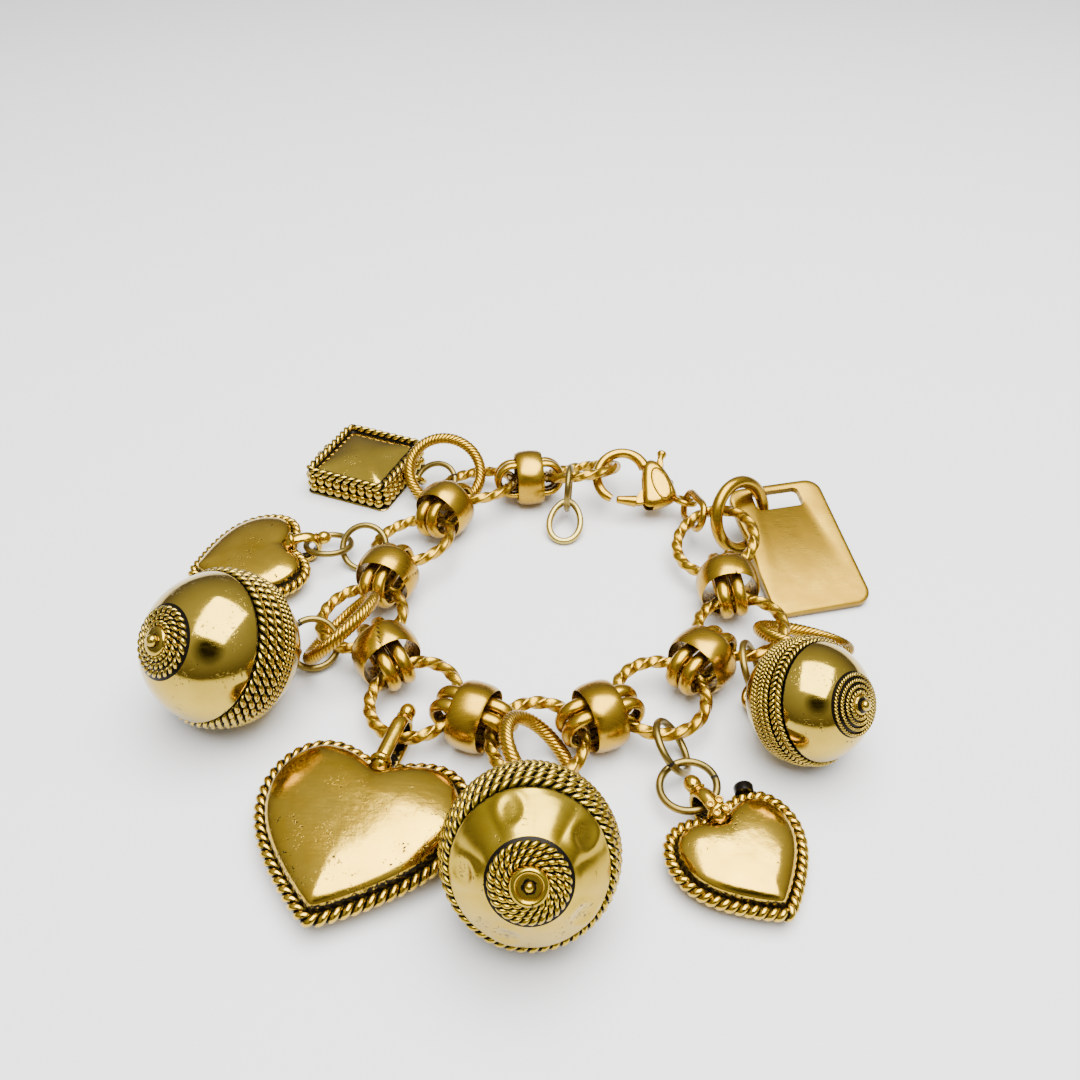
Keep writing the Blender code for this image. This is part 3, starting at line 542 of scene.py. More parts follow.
def wear_and_painted_shade_group():
    """Old gold plate: blotches, black pits, fine scratches and soft dents, and painted shade laid black in
    recesses, under beads and between parts.
    """
    inputs = (("Metal Color", "Color", (0.8, 0.5, 0.1, 1)), ("Worn Color", "Color", (0.9, 0.7, 0.3, 1)),
              ("Dark Color", "Color", (*PIT_AND_SHADE_BLACK, 1)), ("Recess", "Float", 0.0), ("Pits", "Float", 0.3),
              ("Smooth", "Float", 0.15), ("Rough", "Float", 0.4), ("Dents", "Float", 0.3))
    outputs = (("Color", "Color"), ("Roughness", "Float"), ("Metallic", "Float"), ("Height", "Float"))
    web, given, out = new_group("antiquing", inputs, outputs)
    where = web.add("ShaderNodeTexCoord").outputs["Object"]
    blotch = web.noise(where, 5.0, 4.0, 0.6)
    grain = web.noise(where, 0.5, 3.0, 0.6)
    spots = web.rise(web.noise(where, 0.42, 2.0), 0.60, 0.66)
    clusters = web.rise(web.noise(where, 3.6, 2.0), 0.54, 0.64)
    pits = web.times(web.times(spots, clusters), given["Pits"], True)
    # Painted shade: black laid over recesses, undersides and gaps between parts, its edge made ragged by grain
    ragged = web.times(web.minus(grain, 0.5), 1.1)
    left = web.rise(web.plus(given["Recess"], ragged), 0.42, 0.62)
    painted_shade_share = web.times(left, web.rise(given["Recess"], 0.0, 0.25))
    dark = web.sum("MAXIMUM", painted_shade_share, pits, True)
    plate = web.blend(web.rise(blotch, 0.35, 0.7), given["Metal Color"], given["Worn Color"])
    web.link(web.blend(dark, plate, given["Dark Color"]), out["Color"])
    brushed = {"Vector": where, "Rotation": (0.3, 0.5, 0.8), "Scale": (1.0, 9.0, 2.0)}
    streaks = web.add("ShaderNodeMapping", brushed)
    scratch = web.rise(web.noise(streaks.outputs[0], 2.2, 3.0), 0.35, 0.75)
    share = web.plus(web.times(web.rise(blotch, 0.3, 0.75), 0.45), web.times(scratch, 0.4))
    share = web.sum("MAXIMUM", share, dark, True)
    spread_of = web.minus(given["Rough"], given["Smooth"])
    web.link(web.plus(given["Smooth"], web.times(spread_of, share)), out["Roughness"])
    web.link(web.minus(1.0, web.times(dark, 0.4)), out["Metallic"])
    peel = web.times(web.noise(where, 0.8, 2.0), 0.3)
    dents = web.times(web.plus(web.noise(where, 3.0, 1.5), peel), given["Dents"])
    relief = web.minus(dents, web.times(pits, 0.35))
    relief = web.plus(relief, web.times(grain, web.times(given["Rough"], 0.06)))
    web.link(relief, out["Height"])


def hatching_group():
    """Rows of tiny raised squares along the struck faces of a twisted wire, with painted shade in the gaps
    between them.
    """
    outputs = (("Height", "Float"), ("Mask", "Float"))
    web, given, out = new_group("hatching", (("Pitch", "Float", 0.42), ("Amount", "Float", 0.2)), outputs)
    lay = web.add("ShaderNodeAttribute", attribute_name="lay").outputs["Vector"]
    axes = web.add("ShaderNodeSeparateXYZ", {"Vector": lay}).outputs
    waves = []
    for axis in (0, 1):
        turns = web.sum("DIVIDE", axes[axis], given["Pitch"])
        waves.append(web.sum("ABSOLUTE", web.sum("SINE", web.times(turns, math.pi))))
    dots = web.rise(web.sum("MINIMUM", *waves), 0.15, 0.6)
    web.link(web.times(web.times(dots, axes[2]), given["Amount"]), out["Height"])
    # Painted shade in the gaps between the raised squares
    gaps = web.times(web.minus(1.0, dots), axes[2])
    web.link(web.times(gaps, given["Amount"]), out["Mask"])


def metal(name, colour, worn_and_shaded, smooth, rough, pits, dents, dark=PIT_AND_SHADE_BLACK, hatched=False, bump=0.35):
    """A worn metal with its own gloss, pits and dents, and painted shade laid black in its recesses."""
    made = bpy.data.materials.new(name)
    made.use_nodes = True
    web = Web(made.node_tree)
    shader = made.node_tree.nodes["Principled BSDF"]
    effect = web.add("ShaderNodeGroup", node_tree=bpy.data.node_groups["antiquing"])
    values = {"Metal Color": (*colour, 1), "Worn Color": (*worn_and_shaded, 1), "Dark Color": (*dark, 1), "Pits": pits,
              "Smooth": smooth, "Rough": rough, "Dents": dents}
    for key, value in values.items():
        effect.inputs[key].default_value = value
    # Painted shade from the mask on the points; hatched metals add painted shade in the gaps of their struck
    # faces
    recess = web.add("ShaderNodeAttribute", attribute_name="recess").outputs["Fac"]
    height = effect.outputs["Height"]
    if hatched:
        hatch = web.add("ShaderNodeGroup", node_tree=bpy.data.node_groups["hatching"])
        recess = web.sum("MAXIMUM", recess, hatch.outputs["Mask"])
        height = web.plus(height, hatch.outputs["Height"])
    web.link(recess, effect.inputs["Recess"])
    bumps = web.add("ShaderNodeBump", {"Height": height, "Strength": bump, "Distance": RELIEF * MM})
    for source, target in (("Color", "Base Color"), ("Roughness", "Roughness"), ("Metallic", "Metallic")):
        web.link(effect.outputs[source], shader.inputs[target])
    web.link(bumps.outputs[0], shader.inputs["Normal"])
    shader.inputs["Specular IOR Level"].default_value = GRAZING_GLOSS
    made.diffuse_color = (*colour, 1)


def colour_of(label, text, default):
    """A setting that holds a colour."""
    return bpy.props.FloatVectorProperty(
        name=label, description=text, default=default, subtype="COLOR", min=0.0, max=1.0)


def share_of(label, text, default):
    """A setting from 0 to 1."""
    return bpy.props.FloatProperty(
        name=label, description=text, default=default, min=0.0, max=1.0, subtype="FACTOR")


class BraceletFinishes(bpy.types.PropertyGroup):
    """Colours and gloss of the bracelet's metals."""

    satin: colour_of("Satin gold", "Plate of the chain and clasp, before light", (0.45, 0.27, 0.02))
    polished: colour_of("Polished gold", "Plate of the balls and the square", (0.50, 0.345, 0.045))
    dull: colour_of("Dull brass", "Metal of the jump rings", (0.19, 0.14, 0.035))
    pale: colour_of("Pale brass", "Metal of the small drop", (0.42, 0.33, 0.09))
    satin_gloss: share_of("Satin roughness", "Least roughness of the chain and clasp", 0.2)
    polished_gloss: share_of("Polished roughness", "Least roughness of the balls and hearts", 0.045)
    pits: share_of("Pits", "How many black pits the polished charms have", 0.9)


class BraceletShapes(bpy.types.PropertyGroup):
    """Choices in the fine shapes."""

    cable_turns: bpy.props.IntProperty(
        name="Cable turns", description="Turns of each strand round a cable ring", default=10, min=4, max=30)
    ridges: bpy.props.FloatProperty(
        name="Rope ridge", description="Length of one ridge of a rope in rope diameters", default=0.9,
        min=0.4, max=2.0)
    dimples: bpy.props.IntProperty(
        name="Dimples", description="Oval dimples round the front ball", default=5, min=0, max=12)


class BraceletStage(bpy.types.PropertyGroup):
    """Floor, light and camera."""

    floor: colour_of("Floor", "Colour of the table", (0.76, 0.76, 0.75))
    window: bpy.props.FloatProperty(
        name="Window light", description="Power of the overhead window", default=14.0, min=0.0, unit="POWER")
    sky: bpy.props.FloatProperty(
        name="Room light", description="Strength of the light from all round", default=1.0, min=0.0)
    camera_distance: bpy.props.FloatProperty(
        name="Camera distance", description="From the lens to the table", default=0.173, min=0.05,
        unit="LENGTH")


def make_finishes(context):
    """Builds the node groups and the metals once."""
    if "antiquing" in bpy.data.node_groups:
        return
    wear_and_painted_shade_group()
    hatching_group()
    look = context.scene.bracelet_finishes
    satin, polished, dull, pale = (tuple(c) for c in (look.satin, look.polished, look.dull, look.pale))
    smooth, mirror = look.satin_gloss, look.polished_gloss
    metal("chain_gold", satin, RICH_GOLD, smooth, 0.36, 0.12, 0.22, bump=0.25)
    metal("struck_gold", satin, RICH_GOLD, smooth, 0.42, 0.1, 0.3, hatched=True, bump=0.4)
    metal("ball_gold", polished, (0.43, 0.285, 0.03), mirror, 0.22, look.pits, 0.55)
    metal("heart_gold", (0.58, 0.375, 0.04), (0.47, 0.285, 0.02), mirror * 2, 0.28, 1.0, 1.0)
    metal("cone_gold", (0.48, 0.325, 0.028), (0.40, 0.26, 0.016), mirror * 4, 0.32, 0.9, 0.5)
    metal("tag_gold", (0.30, 0.18, 0.014), (0.24, 0.135, 0.008), smooth * 1.2, 0.4, 0.12, 0.5)
    # The jump rings' black, for their pits and their painted shade, is a dark brass
    metal("jump_brass", dull, (0.28, 0.19, 0.04), 0.26, 0.48, 0.3, 0.3, dark=(0.03, 0.024, 0.015))
    metal("drop_brass", pale, (0.46, 0.32, 0.06), 0.22, 0.42, 0.2, 0.3)


def twisted_ring():
    """Square wire twisted on its way round, with two struck faces."""
    steps, sides = 288, 28
    section = box_section(RING_WIRE, RING_WIRE, RING_CORNERS, sides)
    rows = sweep(circle(RING_RADIUS, steps), section, twist=TAU * RING_TURNS)
    length = np.arange(steps)[:, None] * TAU * RING_RADIUS / steps
    struck = np.clip((np.abs(section[:, 0]) / (RING_WIRE / 2) - 0.86) * 12, 0, 1)
    patches = np.clip(np.sin(np.arange(steps) * TAU * RING_PATCHES / steps)[:, None] * 3 + 1.6, 0, 1)
    lay = xyz(length, section[:, 1], struck * patches)
    return Shape().skin(rows, 0.0, lay)


def half_round_loop(length):
    """One oval loop of half-round wire, flat inside, with painted shade on its inner side."""
    wide, deep = LOOP_WIRE
    steps, sides = 72, 20
    angles = around(sides)
    cos, sin = np.cos(angles), np.sin(angles)
    section = np.stack([np.where(cos > 0, cos * deep * 0.62, cos * deep * 0.38), sin * wide / 2], axis=-1)
    section[:, 1] *= np.clip(1.15 - 0.15 * np.abs(sin), 0.0, 1.0)
    section[:, 0] -= 0.12 * deep
    path = stadium(length - deep, LOOP_HEIGHT - deep, steps)
    # Painted shade on the flat inner side of the wire
    return Shape().skin(sweep(path, section, (0, -1, 0)), np.clip(-cos * 1.2 - 0.3, 0, 0.55))


def barrel_band(outer, seam):
    """A domed band about x with rolled lips, and the joint where its ends meet at a seam angle, with painted
    shade in the joint and on the band's inside.
    """
    steps = 96
    half, inner = BAND_WIDTH / 2, outer - BAND_WALL
    depth, width = BAND_SEAM
    side = ((inner, 0.9), (inner + BAND_LIP, 1.0), (outer - BAND_DOME - 0.1, 1.0), (outer - BAND_DOME, 0.93),
            (outer - 0.14, 0.7), (outer - 0.03, 0.35))
    upper = [(reach, half * share) for reach, share in side]
    lower = [(reach, -half * share) for reach, share in side[:0:-1]]
    profile = np.array([(inner, -half * 0.9)] + upper + [(outer, 0)] + lower)
    angles = around(steps)[:, None]
    slant = profile[:, 1] / half * BAND_SLANT
    away = np.abs((angles - seam - slant + math.pi) % TAU - math.pi)
    groove = np.clip(1 - away / width, 0, 1)
    radius = profile[:, 0] - depth * groove * (profile[:, 0] > inner + 0.15)
    radius = radius + BAND_HAMMERED * np.sin(angles * 5 + seam)
    rows = xyz(profile[:, 1], radius * np.cos(angles), radius * np.sin(angles))
    # Painted shade in the joint's groove and on the inside face of the band
    recess = np.maximum(groove, np.where(profile[:, 0] < inner + 0.05, 0.5, 0.0))
    return Shape().skin(rows * MM, recess)


class ChainOperator(bpy.types.Operator):
    """Builds the twisted rings, the pairs of loops and the bands round them"""

    bl_idname = "bracelet.build_chain"
    bl_label = "Build Chain"

    def execute(self, context):
        make_finishes(context)
        count = sum(node.startswith("twisted_ring_") for node in frame["nodes"])
        ring = twisted_ring()
        for i in range(1, count + 1):
            node = f"twisted_ring_{i}"
            piece(f"ring_{i}", ring, ring_matrix(node), "struck_gold", [node], sharp=42)
        for i in range(1, count):
            pair = [f"link_loop_{i}_{letter}" for letter in "ab"]
            for node in pair:
                middle, (along, tall, _) = spread(points_of(node))
                along, tall = toward(along, (1, 0.3, 0)), toward(tall, UP)
                loop = half_round_loop(np.ptp(along_axis(points_of(node), along)) / MM)
                matrix = placement(middle, tall, along)
                piece(node.replace("link_loop", "loop"), loop, matrix, "chain_gold", [node])
            node = f"barrel_band_{i}"
            points = points_of(node)
            middle = spread(points)[0]
            away = points - np.array(middle)
            away -= np.outer(along_axis(points, along, middle), np.array(along))
            outer = np.linalg.norm(away, axis=1).max() / MM
            band, matrix = barrel_band(outer, math.radians(35 + 83 * i)), placement(middle, tall, along)
            piece(f"band_{i}", band, matrix, "chain_gold", [node], sharp=50)
        return {"FINISHED"}


def cable_ring(turns):
    """Strands of wire laid in a twist round a ring, on a thin core painted black as the shade between them."""
    radius, wire = CABLE_SIZE
    shape = Shape()
    rope(shape, circle(radius, 240), wire / 2, CABLE_STRANDS * turns, CABLE_STRANDS, 6)
    # A thin core painted black as the shade between the strands
    return shape.skin(wire_ring(radius, wire * 0.62, 60, 8), 1.0)


class RingsOperator(bpy.types.Operator):
    """Builds the jump rings with their cut, the cable rings and the thick ring"""

    bl_idname = "bracelet.build_rings"
    bl_label = "Build Rings"

    def execute(self, context):
        make_finishes(context)
        cable = cable_ring(context.scene.bracelet_shapes.cable_turns)
        for number, node in enumerate(sorted(frame["nodes"])):
            name = node.replace("_ring", "")
            if "_jump_ring" in node:
                ring = round_ring(JUMP_SIZE, gap=CUT_GAP, start=2.1 * number)
                piece(name, ring, ring_matrix(node), "jump_brass", [node], sharp=50)
            elif node.endswith("cable_ring"):
                piece(name, cable, ring_matrix(node), "chain_gold", [node])
        ring = round_ring(THICK_SIZE, 72, 18)
        piece("tag_ring", ring, ring_matrix("thick_ring"), "chain_gold", ["thick_ring"])
        return {"FINISHED"}


def ball_matrix(node, radius):
    """Where a ball lies: its middle, with its knob along z and its eye in the xz plane."""
    points = points_of(node)
    gaps = np.linalg.norm(points[:, None] - points[None], axis=-1)
    first, second = np.unravel_index(gaps.argmax(), gaps.shape)
    best = None
    for knob, far in ((points[first], points[second]), (points[second], points[first])):
        axis = unit(knob - far)
        middle = knob - axis * (radius + KNOB_TOP) * MM
        misfit = np.median(np.abs(np.linalg.norm(points - middle, axis=1) - radius * MM))
        if best is None or misfit < best[0]:
            best = (misfit, middle, axis)
    _, middle, axis = best
    reach = (points - middle) @ axis
    eye = points[reach < -(radius + 1.2) * MM]
    side = spread(eye)[1][2]
    return placement(Vector(middle), Vector(axis), side.cross(Vector(axis)))


def ball_shell(shape, radius, channel, cone, dimples):
    """The ball's skin: a channel for the ropes, and a flatter dimpled cone between rosette and rim, with
    painted shade in the channel, at its edges and in the dimples.
    """
    rows, steps = 150, 144
    tilt = np.linspace(0.02, math.pi - 0.02, rows)[:, None]
    spin = around(steps)[None]
    size = np.full((rows, steps), float(radius))
    worn_and_shaded = np.zeros((rows, steps))
    if cone:
        low, high = cone
        middle = (low + high) / 2
        flat = radius * math.cos((high - low) / 2) / np.cos(tilt - middle)
        inside = (tilt > low) & (tilt < high)
        inside = inside * np.clip((tilt - low) * 9, 0, 1) * np.clip((high - tilt) * 9, 0, 1)
        size = radius + (flat - radius) * CONE_FLATNESS * (inside > 0) * np.ones((rows, steps))
        for i in range(dimples):
            turn = (spin - TAU * (i + 0.25) / max(dimples, 1) + math.pi) % TAU - math.pi
            tall, wide = DIMPLE_SIZE
            distance = np.hypot((tilt - middle - 0.05) * radius / tall, turn * np.sin(tilt) * radius / wide)
            dent = np.exp(-(distance ** 4))
            size = size - DIMPLE_DEPTH * dent + DIMPLE_RIM * np.exp(-((distance - 1.25) ** 2) * 9)
            # Painted shade in each dimple
            worn_and_shaded = np.maximum(worn_and_shaded, DIMPLE_SHADE * dent)
        crease = np.abs(np.cos(dimples * (spin - TAU / 4 / max(dimples, 1)))) - 0.5
        size = size + CREASE_DEPTH * crease * inside
    start, end = channel
    into = np.clip((tilt - start) / 0.03, 0, 1) * np.clip((end - tilt) / 0.03, 0, 1)
    size = size - CHANNEL_DEPTH * into
    # Painted shade in the channel under the girdle ropes and along its edges
    edge = np.clip(1 - np.abs(tilt - start) / 0.035, 0, 1) + np.clip(1 - np.abs(tilt - end) / 0.035, 0, 1)
    recess = np.maximum(np.clip(into * 1.2 + edge, 0, 1), worn_and_shaded)
    points = xyz(size * np.sin(tilt) * np.cos(spin), size * np.sin(tilt) * np.sin(spin), size * np.cos(tilt))
    shape.skin(points * MM, recess, ends=True)


def latitude_rope(shape, radius, degrees, thick, ridge, hand):
    """A rope round the ball at an angle from its knob."""
    angle = math.radians(degrees)
    reach = radius + ROPE_PROUD - thick
    path = circle(reach * math.sin(angle), 360)
    path[:, 2] += reach * math.cos(angle) * MM
    ridges = TAU * reach * math.sin(angle) / (2 * thick * ridge)
    rope(shape, path, thick, ridges, hand=hand)


# For each ball: its radius; its ropes as (degrees from the knob, radius, hand), those of the girdle and of
# the rosette; its knob as (radius, z above the ball) points; a flatter cone, in degrees; and its metal
BALLS = {
    "left_ball": {
        "radius": 10.7,
        "girdle": ((79.6, 0.7, 1), (87.2, 0.7, 1), (94.8, 0.7, 1), (100.8, 0.42, 1), (105.2, 0.42, 1),
                   (109.4, 0.42, 1)),
        "rosette": ((12.6, 0.42, 1), (17.6, 0.5, 1), (23.4, 0.58, 1)),
        "knob": ((0.02, 1.3), (0.4, 1.25), (0.72, 1.0), (0.82, 0.62), (0.82, 0.38), (1.2, 0.4), (1.75, 0.36),
                 (1.95, 0.2), (1.98, -0.4), (0.02, -0.6)),
        "cone": None,
        "finish": "ball_gold",
    },
    "front_ball": {
        "radius": 10.1,
        "girdle": ((68.0, 0.66, 1), (75.5, 0.66, 1), (83.0, 0.66, 1), (89.4, 0.42, 1), (94.2, 0.42, 1),
                   (99.0, 0.42, 1), (103.8, 0.42, 1)),
        "rosette": ((14.4, 0.46, 1), (19.0, 0.48, 1), (23.8, 0.52, 1)),
        "knob": ((0.02, 0.95), (0.35, 0.9), (0.55, 0.6), (0.58, 0.35), (1.3, 0.35), (1.5, 0.7), (1.75, 0.85),
                 (2.05, 0.7), (2.15, 0.4), (2.15, -0.4), (0.02, -0.6)),
        "cone": (28.0, 64.0),
        "finish": "cone_gold",
    },
    "small_ball": {
        "radius": 8.3,
        "girdle": ((77.0, 0.42, 1), (82.8, 0.42, -1), (89.4, 0.34, 1), (94.6, 0.3, 1), (99.2, 0.3, -1),
                   (103.8, 0.3, 1), (108.2, 0.3, 1)),
        "rosette": ((11.5, 0.3, 1), (16.4, 0.24, 1), (21.6, 0.24, 1), (27.2, 0.26, 1)),
        "knob": ((0.02, 1.3), (0.35, 1.26), (0.62, 1.05), (0.7, 0.75), (0.62, 0.5), (0.95, 0.4), (1.2, 0.3),
                 (1.3, 0.15), (1.32, -0.4), (0.02, -0.6)),
        "cone": None,
        "finish": "ball_gold",
    },
}


def ball_charm(spec, shapes):
    """A ball with its knob, rosette, rope girdle and eye; a mound painted black under the rosette stands for
    the shade between its ropes.
    """
    shape, radius = Shape(), spec["radius"]
    girdle = spec["girdle"]
    start = girdle[0][0] - math.degrees(girdle[0][1] / radius) - 1.3
    end = girdle[-1][0] + math.degrees(girdle[-1][1] / radius) + 0.8
    cone = spec["cone"] and tuple(math.radians(a) for a in spec["cone"])
    ball_shell(shape, radius, (math.radians(start), math.radians(end)), cone, shapes.dimples)
    for degrees, thick, hand in girdle + spec["rosette"]:
        latitude_rope(shape, radius, degrees, thick, shapes.ridges, hand)
    outer = math.radians(spec["rosette"][-1][0]) + spec["rosette"][-1][1] / radius
    tilt = np.linspace(0.0, outer + 0.03, 8)
    under = radius + 0.06
    mound = [(max(under * math.sin(a), 0.02), under * math.cos(a)) for a in tilt]
    # A mound painted black under the rosette ropes, standing for the shade between them
    turned(shape, mound + [(0.02, radius * math.cos(outer) - 0.8)], 72, [1.0] * 9)
    knob = [(r, radius + z) for r, z in spec["knob"]]
    # Painted shade on the knob's narrow neck under its cap
    shade = [0.0 if z > 0.5 or r > 1.0 else 0.8 for r, z in spec["knob"]]
    turned(shape, knob, 40, shade)
    eye = wire_ring(EYE_RADIUS, EYE_WIRE, 40, 12)
    shape.skin(eye, matrix=step_in((0, 0, -(radius + EYE_NECK)), (0, 1, 0), (0, 0, 1)))
    # Painted shade on the collar where it meets the ball
    turned(shape, [(r, -(radius + 0.35) + z) for r, z in EYE_COLLAR], 32, [0, 0, 0.2, 0.8, 1])
    return shape


class BallsOperator(bpy.types.Operator):
    """Builds the three ball charms with their ropes and rosettes"""

    bl_idname = "bracelet.build_balls"
    bl_label = "Build Balls"

    def execute(self, context):
        make_finishes(context)
        for node, spec in BALLS.items():
            shape = ball_charm(spec, context.scene.bracelet_shapes)
            matrix = ball_matrix(node, spec["radius"])
            piece(node + "_charm", shape, matrix, spec["finish"], [node], sharp=60)
        return {"FINISHED"}


def heart_outline(width, count=200):
    """A heart in the xy plane with its tip at -y, evenly spaced from its notch."""
    t = around(720)
    x = np.sign(np.sin(t)) * np.abs(np.sin(t)) ** HEART_FLANK * HEART_UNITS / 2
    ripple = 5 * np.cos(2 * t) + 2 * np.cos(3 * t) + np.cos(4 * t)
    y = (13 * np.cos(t) - HEART_RIPPLE * ripple) * HEART_STRETCH
    return resample(xyz(x, y) * width / HEART_UNITS * MM, count)


def heart_matrix(node, width):
    """Where a heart lies: its origin, with its bail along y and its front up."""
    points = points_of(node)
    middle, (along, _, _) = spread(points)
    far = points[np.linalg.norm(points - np.array(middle), axis=1).argmax()]
    reach = along_axis(points, toward(along, Vector(far) - middle), middle)
    if (reach > 0.8 * reach.max()).sum() < (reach < 0.8 * reach.min()).sum():
        reach = -reach
    shell = points[reach < np.percentile(reach, 60)]
    normal = toward(spread(shell)[1][2], UP)
    tip = Vector(points[np.argsort(reach)[:2]].mean(axis=0))
    y_axis = Vector(points[reach.argmax()]) - tip
    y_axis = (y_axis - normal * y_axis.dot(normal)).normalized()
    origin = tip + y_axis * HEART_TIP_UNITS * HEART_STRETCH * width / HEART_UNITS * MM
    return placement(origin, normal, y_axis.cross(normal))


def heart_shell(shape, width, dome):
    """A puffed heart: domes on both sides of a groove, inside its rope edge, with painted shade in the groove
    and at the foot of each dome.
    """
    outline = soften(heart_outline(width), 3)
    round_line = resample(soften(outline, 700), len(outline))
    round_line = np.roll(round_line, -np.linalg.norm(round_line - outline[0], axis=1).argmin(), axis=0)
    middle = np.array([0, -1.5 * width / HEART_UNITS, 0]) * MM
    rows = [(inset, height, depth, 0.0) for inset, height, depth in HEART_GROOVE]
    start = HEART_GROOVE[-1][0]
    for share in np.linspace(0.012, 0.985, 26):
        rise = 0.38 + 0.62 * (1 - (1 - share) ** 4) ** 0.6
        # Painted shade at the foot of the dome, next to the groove
        rows.append((start + (width / 2 - start) * share, dome * rise, max(0.0, 0.7 - share * 14), share))
    front, levels = [], []
    for inset, height, depth, share in rows:
        scale = 1 - 2 * inset / width
        mix = min(1.0, share * 1.25) ** 1.3
        line = middle + (outline * (1 - mix) + round_line * mix - middle) * scale
        front.append(line + np.array([0, 0, height * MM]))
        levels.append(depth)
    back = [line * [1, 1, -1] for line in reversed(front[1:])]
    recess = np.array(list(reversed(levels[1:])) + levels)[:, None]
    shape.skin(np.stack(back + front), recess, ends=True)
    return middle + (outline - middle) * (1 - EDGE_WIRE / width)


def bail(shape, width, length, flower):
    """A strap folded over a ring, with a collar and a ball at its end; the strap's inner side and the
    undersides of its small parts are painted dark as shade.
    """
    notch = HEART_NOTCH_UNITS * width / HEART_UNITS * HEART_STRETCH
    middle = notch + length / 2 - BAIL_SINK
    path = stadium(length - BAIL_WALL, BAIL_HEIGHT - BAIL_WALL, 64)[:, [1, 0, 2]]
    path[:, 1] += middle * MM
    section = box_section(BAIL_WALL, BAIL_WIDTH, 3.2, 20)
    crown = 1.5 - 0.9 * (section[:, 1] / BAIL_WIDTH * 2) ** 2
    section[:, 0] = np.where(section[:, 0] > 0, section[:, 0] * crown, section[:, 0])
    # Painted shade on the strap's inner side
    shape.skin(sweep(path, section, (1, 0, 0)), np.clip(-section[:, 0] * 1.5, 0, 1))
    end = middle + length / 2
    lift = BAIL_HEIGHT * 0.2
    ball = (BAIL_BALL, BAIL_BALL, BAIL_BALL * 1.1)
    # Painted shade under the ball
    blob(shape, (0, end + BAIL_BALL * 0.55, lift), ball, (0, 1, 0), 20, 12, -0.3)
    # Painted shade in the groove round the collar
    turned(shape, BAIL_COLLAR, 28, [0, 0, 0, 0.6, 1, 0.6, 0, 0], step_in((0, end + 0.25, lift), (0, 1, 0)))
    foot = step_in((0, notch + 0.5, BAIL_HEIGHT * 0.36), (0, 1, 0))
    # Painted shade on the underside of the bail's foot
    turned(shape, BAIL_BASE, 28, [1, 0.5, 0, 0, 0], foot)
    if not flower:
        return
    y, z = notch + 0.2, BAIL_HEIGHT * 0.5 + 0.1
    # Petals and the flower's middle get painted shade on their undersides
    for degrees in (45, 135, 225, 315):
        turn = math.radians(degrees)
        petal_x, petal_y = PETAL_PLACE * math.cos(turn), y + PETAL_PLACE * math.sin(turn)
        blob(shape, (petal_x, petal_y, z), (0.62, 0.62, 0.42), shade=0.5)
        shape.skin(wire_ring(*PETAL_RING, 20, 8), matrix=step_in((petal_x, petal_y, z + 0.34)))
    blob(shape, (0, y, z + 0.25), (0.5, 0.5, 0.42), shade=-0.2)


# For each heart: width, dome, bail length, edge ridges, and whether it has the flower and the catch
HEARTS = {
    "large_heart": (28.2, 3.4, 10.2, 58, False),
    "left_heart": (21.1, 2.7, 6.2, 50, False),
    "right_heart": (18.5, 2.7, 6.2, 46, True),
}


def heart_charm(width, dome, length, ridges, locket):
    """A heart with its rope edge and bail; a locket has a flower on its bail and a catch on its edge."""
    shape = Shape()
    edge = heart_shell(shape, width, dome)
    rope(shape, edge, EDGE_WIRE * EDGE_PROUD / 2, ridges)
    bail(shape, width, length, locket)
    if locket:
        at = step_in((width * 0.31, width * 0.375, 0.2), (0.45, 0.89, 0), (0.89, -0.45, 0))
        # Painted shade over the catch where it meets the heart's edge
        turned(shape, CATCH, 20, [1, 1, 0.9, 0.6, 0.9], at)
    return shape


class HeartsOperator(bpy.types.Operator):
    """Builds the three puffed hearts with their rope edges and bails"""

    bl_idname = "bracelet.build_hearts"
    bl_label = "Build Hearts"

    def execute(self, context):
        make_finishes(context)
        for node, (width, dome, length, ridges, locket) in HEARTS.items():
            shape, matrix = heart_charm(width, dome, length, ridges, locket), heart_matrix(node, width)
            piece(node + "_charm", shape, matrix, "heart_gold", [node], sharp=70)
        return {"FINISHED"}


def rounded(half_x, half_y, corner, steps):
    """A rectangle with rounded corners, from half its sides in millimetres."""
    points = []
    for x_side, y_side, start in ((1, 1, 0), (-1, 1, 90), (-1, -1, 180), (1, -1, 270)):
        for turn in np.radians(np.linspace(start, start + 90, steps)):
            x = x_side * (half_x - corner) + corner * math.cos(turn)
            y = y_side * (half_y - corner) + corner * math.sin(turn)
            points.append((x, y, 0.0))
    return np.array(points)


def square_path(half, corner, count):
    """A square with rounded corners, from half its side in millimetres, evenly spaced."""
    return resample(rounded(half, half, corner, 12) * MM, count)


def square_matrix(node):
    """Where the square lies: flat on the table, with its eye along x."""
    points = points_of(node)
    low = points[points[:, 2] < points[:, 2].min() + 0.05 * MM]
    middle = (low.min(axis=0) + low.max(axis=0)) / 2
    eye = np.linalg.norm((points - middle)[:, :2], axis=1) > SQUARE_EYE_REACH * SQUARE_SIDE * MM
    return placement(Vector(middle), UP, Vector(points[eye].mean(axis=0) - middle))


